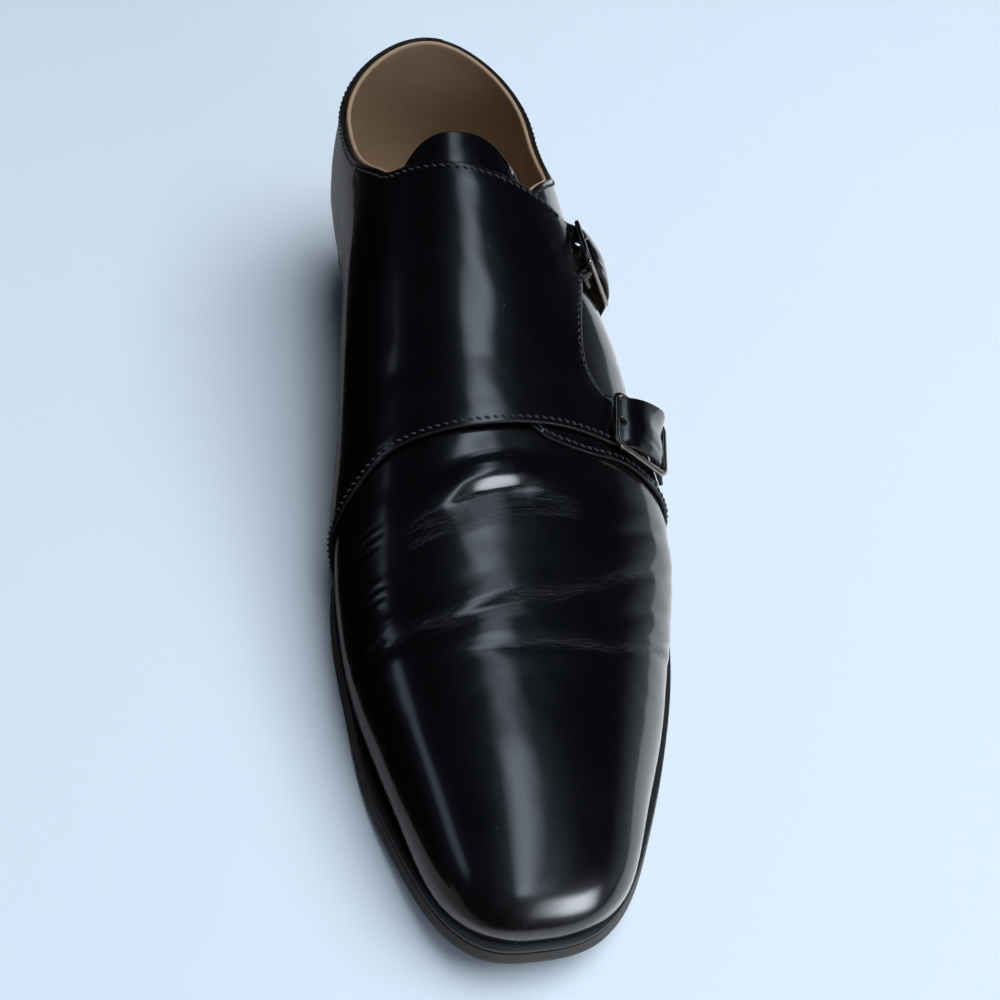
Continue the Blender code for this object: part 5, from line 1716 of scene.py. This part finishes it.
# Brightness along a lamp's length, where it isn't even.
LEVELS = {"overhead_strip": ((0.0, 0.30), (1.0, 0.50), (0.12, 1.0), (0.68, 1.0), (0.73, 0.50))}
CAMERA_PLACE = (-0.0706, -0.2532, 0.3210)
CAMERA_TURN = (39.87, -6.95, -8.53)
# The floor, and the card over it that the polish sees, which paints shade into the floor's reflection: least
# and most x, least and most y, height.
FLOOR = ((-9.0, 9.0), (-9.0, 9.0), 0.0)
PAINTED_SHADE_FLOOR = ((-4.0, 2.0), (-6.0, 3.0), 0.0004)
# A low black card along the inner side, seen only in the shoe's polish, where it paints a dark reflection:
# y, x and height in metres.
FLAG = ((-0.175, -0.100, 0.020), (-0.150, -0.088, 0.034), (-0.110, -0.078, 0.046), (-0.060, -0.070, 0.052),
        (-0.020, -0.072, 0.060), (0.030, -0.080, 0.084), (0.080, -0.088, 0.105), (0.160, -0.092, 0.110),
        (0.175, -0.110, 0.100))
# How the card leans inwards: share of its height and how far out it is there.
FLAG_LEAN = ((0.0, 0.0), (0.5, 0.001), (0.8, 0.006), (1.0, 0.018))


def soften(light, name, width, length):
    """Fades a lamp in from its sides and its ends."""
    light.use_nodes = True
    nodes = Nodes(light.node_tree)
    place = nodes.add("SeparateXYZ", nodes.add("NewGeometry", output="Parametric")).node.outputs
    fades = [nodes.spread(value, start, end) for value, share in ((place[0], width), (place[1], length))
             for start, end in ((0.0, share), (1.0, 1.0 - share))]
    if name in LEVELS:
        fades.append(nodes.add("ValToRGB", place[1]))
        stops = fades[-1].node.color_ramp.elements
        for k, (at, level) in enumerate(LEVELS[name]):
            stop = stops[k] if k < 2 else stops.new(at)
            stop.position = at
            stop.color = (level, level, level, 1.0)
    nodes.join(nodes.multiply(*fades), nodes.tree.nodes["Emission"].inputs["Strength"])


def add_lamp(name, place, target, size, colour, radiance, roll, fades):
    """A rectangular lamp; radiance is its brightness, whatever its size."""
    light = bpy.data.lights.new(name, "AREA")
    light.shape = "RECTANGLE"
    light.size, light.size_y = size
    light.color = colour
    light.energy = radiance * math.pi * size[0] * size[1] * bpy.context.scene.shoe_stage.light
    holder = bpy.data.objects.new(name, light)
    holder.location = place
    holder.rotation_mode = "QUATERNION"
    if target is not None:
        holder.rotation_quaternion = (Vector(target) - holder.location).to_track_quat("-Z", "Y")
    holder.rotation_quaternion @= Quaternion((0.0, 0.0, 1.0), math.radians(roll))
    holder.visible_glossy = fades is not None
    bpy.context.scene.collection.objects.link(holder)
    if fades:
        soften(light, name, *fades)


def add_card(name, rows, finish, only_in_polish):
    """A sheet of the stage from rows of points in metres, seen by everything or only in reflections."""
    mesh = bpy.data.meshes.new(name)
    faces = list(grid_faces(len(rows), len(rows[0])))
    mesh.from_pydata([point for row in rows for point in row], [], faces)
    mesh.materials.append(finish_of(finish))
    card = bpy.data.objects.new(name, mesh)
    bpy.context.scene.collection.objects.link(card)
    if only_in_polish:
        card.visible_camera = card.visible_diffuse = card.visible_shadow = card.visible_transmission = False


def add_room():
    """A pale backdrop round the floor, and a dim room in what the shoe reflects."""
    world = bpy.data.worlds.new("room")
    world.use_nodes = True
    nodes = Nodes(world.node_tree)
    pale = nodes.tree.nodes["Background"]
    nodes.join(ROOM_COLOUR, pale.inputs["Color"])
    dim = nodes.add("Background", (0.010, 0.012, 0.015))
    seen = nodes.add("LightPath", output="Is Camera Ray")
    nodes.join(nodes.add("MixShader", seen, dim, pale.outputs[0]),
               nodes.tree.nodes["World Output"].inputs["Surface"])
    bpy.context.scene.world = world


class SHOE_OT_stage(ShoePiece, bpy.types.Operator):
    """Make the floor, the lamps and the camera"""

    bl_idname = "shoe.stage"
    bl_label = "Stage"

    def execute(self, context):
        # The second card is seen only in reflections, where it paints shade on the floor's reflection.
        for name, (xs, ys, height) in (("floor", FLOOR), ("dim_floor", PAINTED_SHADE_FLOOR)):
            rows = [[(x, y, height) for x in xs] for y in ys]
            add_card(name, rows, name + "_paper", only_in_polish=name != "floor")
        # The black card is seen only in reflections, where it paints a dark reflection along the inner side.
        rows = [[(x - out, y, height * share) for share, out in FLAG_LEAN] for y, x, height in FLAG]
        add_card("flag", rows, "flag_cloth", only_in_polish=True)
        for lamp in LAMPS:
            add_lamp(*lamp)
        add_room()
        camera = bpy.data.cameras.new("camera")
        camera.angle = context.scene.shoe_stage.view_width
        holder = bpy.data.objects.new("camera", camera)
        holder.location = CAMERA_PLACE
        holder.rotation_euler = [math.radians(turn) for turn in CAMERA_TURN]
        context.scene.collection.objects.link(holder)
        context.scene.camera = holder
        context.scene.view_settings.view_transform = "Standard"
        return {"FINISHED"}


# ---------------------------------------------------------------- the add-on
PIECES = (SHOE_OT_vamp, SHOE_OT_lining, SHOE_OT_outer_quarter, SHOE_OT_inner_quarter, SHOE_OT_tongue,
          SHOE_OT_back_strip, SHOE_OT_stitching, SHOE_OT_welt, SHOE_OT_outsole, SHOE_OT_heel, SHOE_OT_sock,
          SHOE_OT_buckles, SHOE_OT_stage)
SETTINGS = {"shoe_leather": ShoeLeatherSettings, "shoe_stitching": ShoeStitchingSettings,
            "shoe_buckles": ShoeBuckleSettings, "shoe_stage": ShoeStageSettings}


class SHOE_PT_pieces(bpy.types.Panel):
    """Lists the shoe's pieces and settings"""

    bl_idname = "SHOE_PT_pieces"
    bl_label = "Double monk strap shoe"
    bl_space_type = "VIEW_3D"
    bl_region_type = "UI"
    bl_category = "Shoe"

    def draw(self, context):
        for name, group in SETTINGS.items():
            column = self.layout.column(align=True)
            for label in group.__annotations__:
                column.prop(getattr(context.scene, name), label)
        for piece in PIECES:
            self.layout.operator(piece.bl_idname)


def register():
    for group in (*SETTINGS.values(), *PIECES, SHOE_PT_pieces):
        bpy.utils.register_class(group)
    for name, group in SETTINGS.items():
        setattr(bpy.types.Scene, name, PointerProperty(type=group))


def unregister():
    for name in SETTINGS:
        delattr(bpy.types.Scene, name)
    for group in (SHOE_PT_pieces, *PIECES[::-1], *SETTINGS.values()):
        bpy.utils.unregister_class(group)


def main():
    register()
    for piece in PIECES:
        group, name = piece.bl_idname.split(".")
        getattr(getattr(bpy.ops, group), name)()


if __name__ == "__main__":
    main()
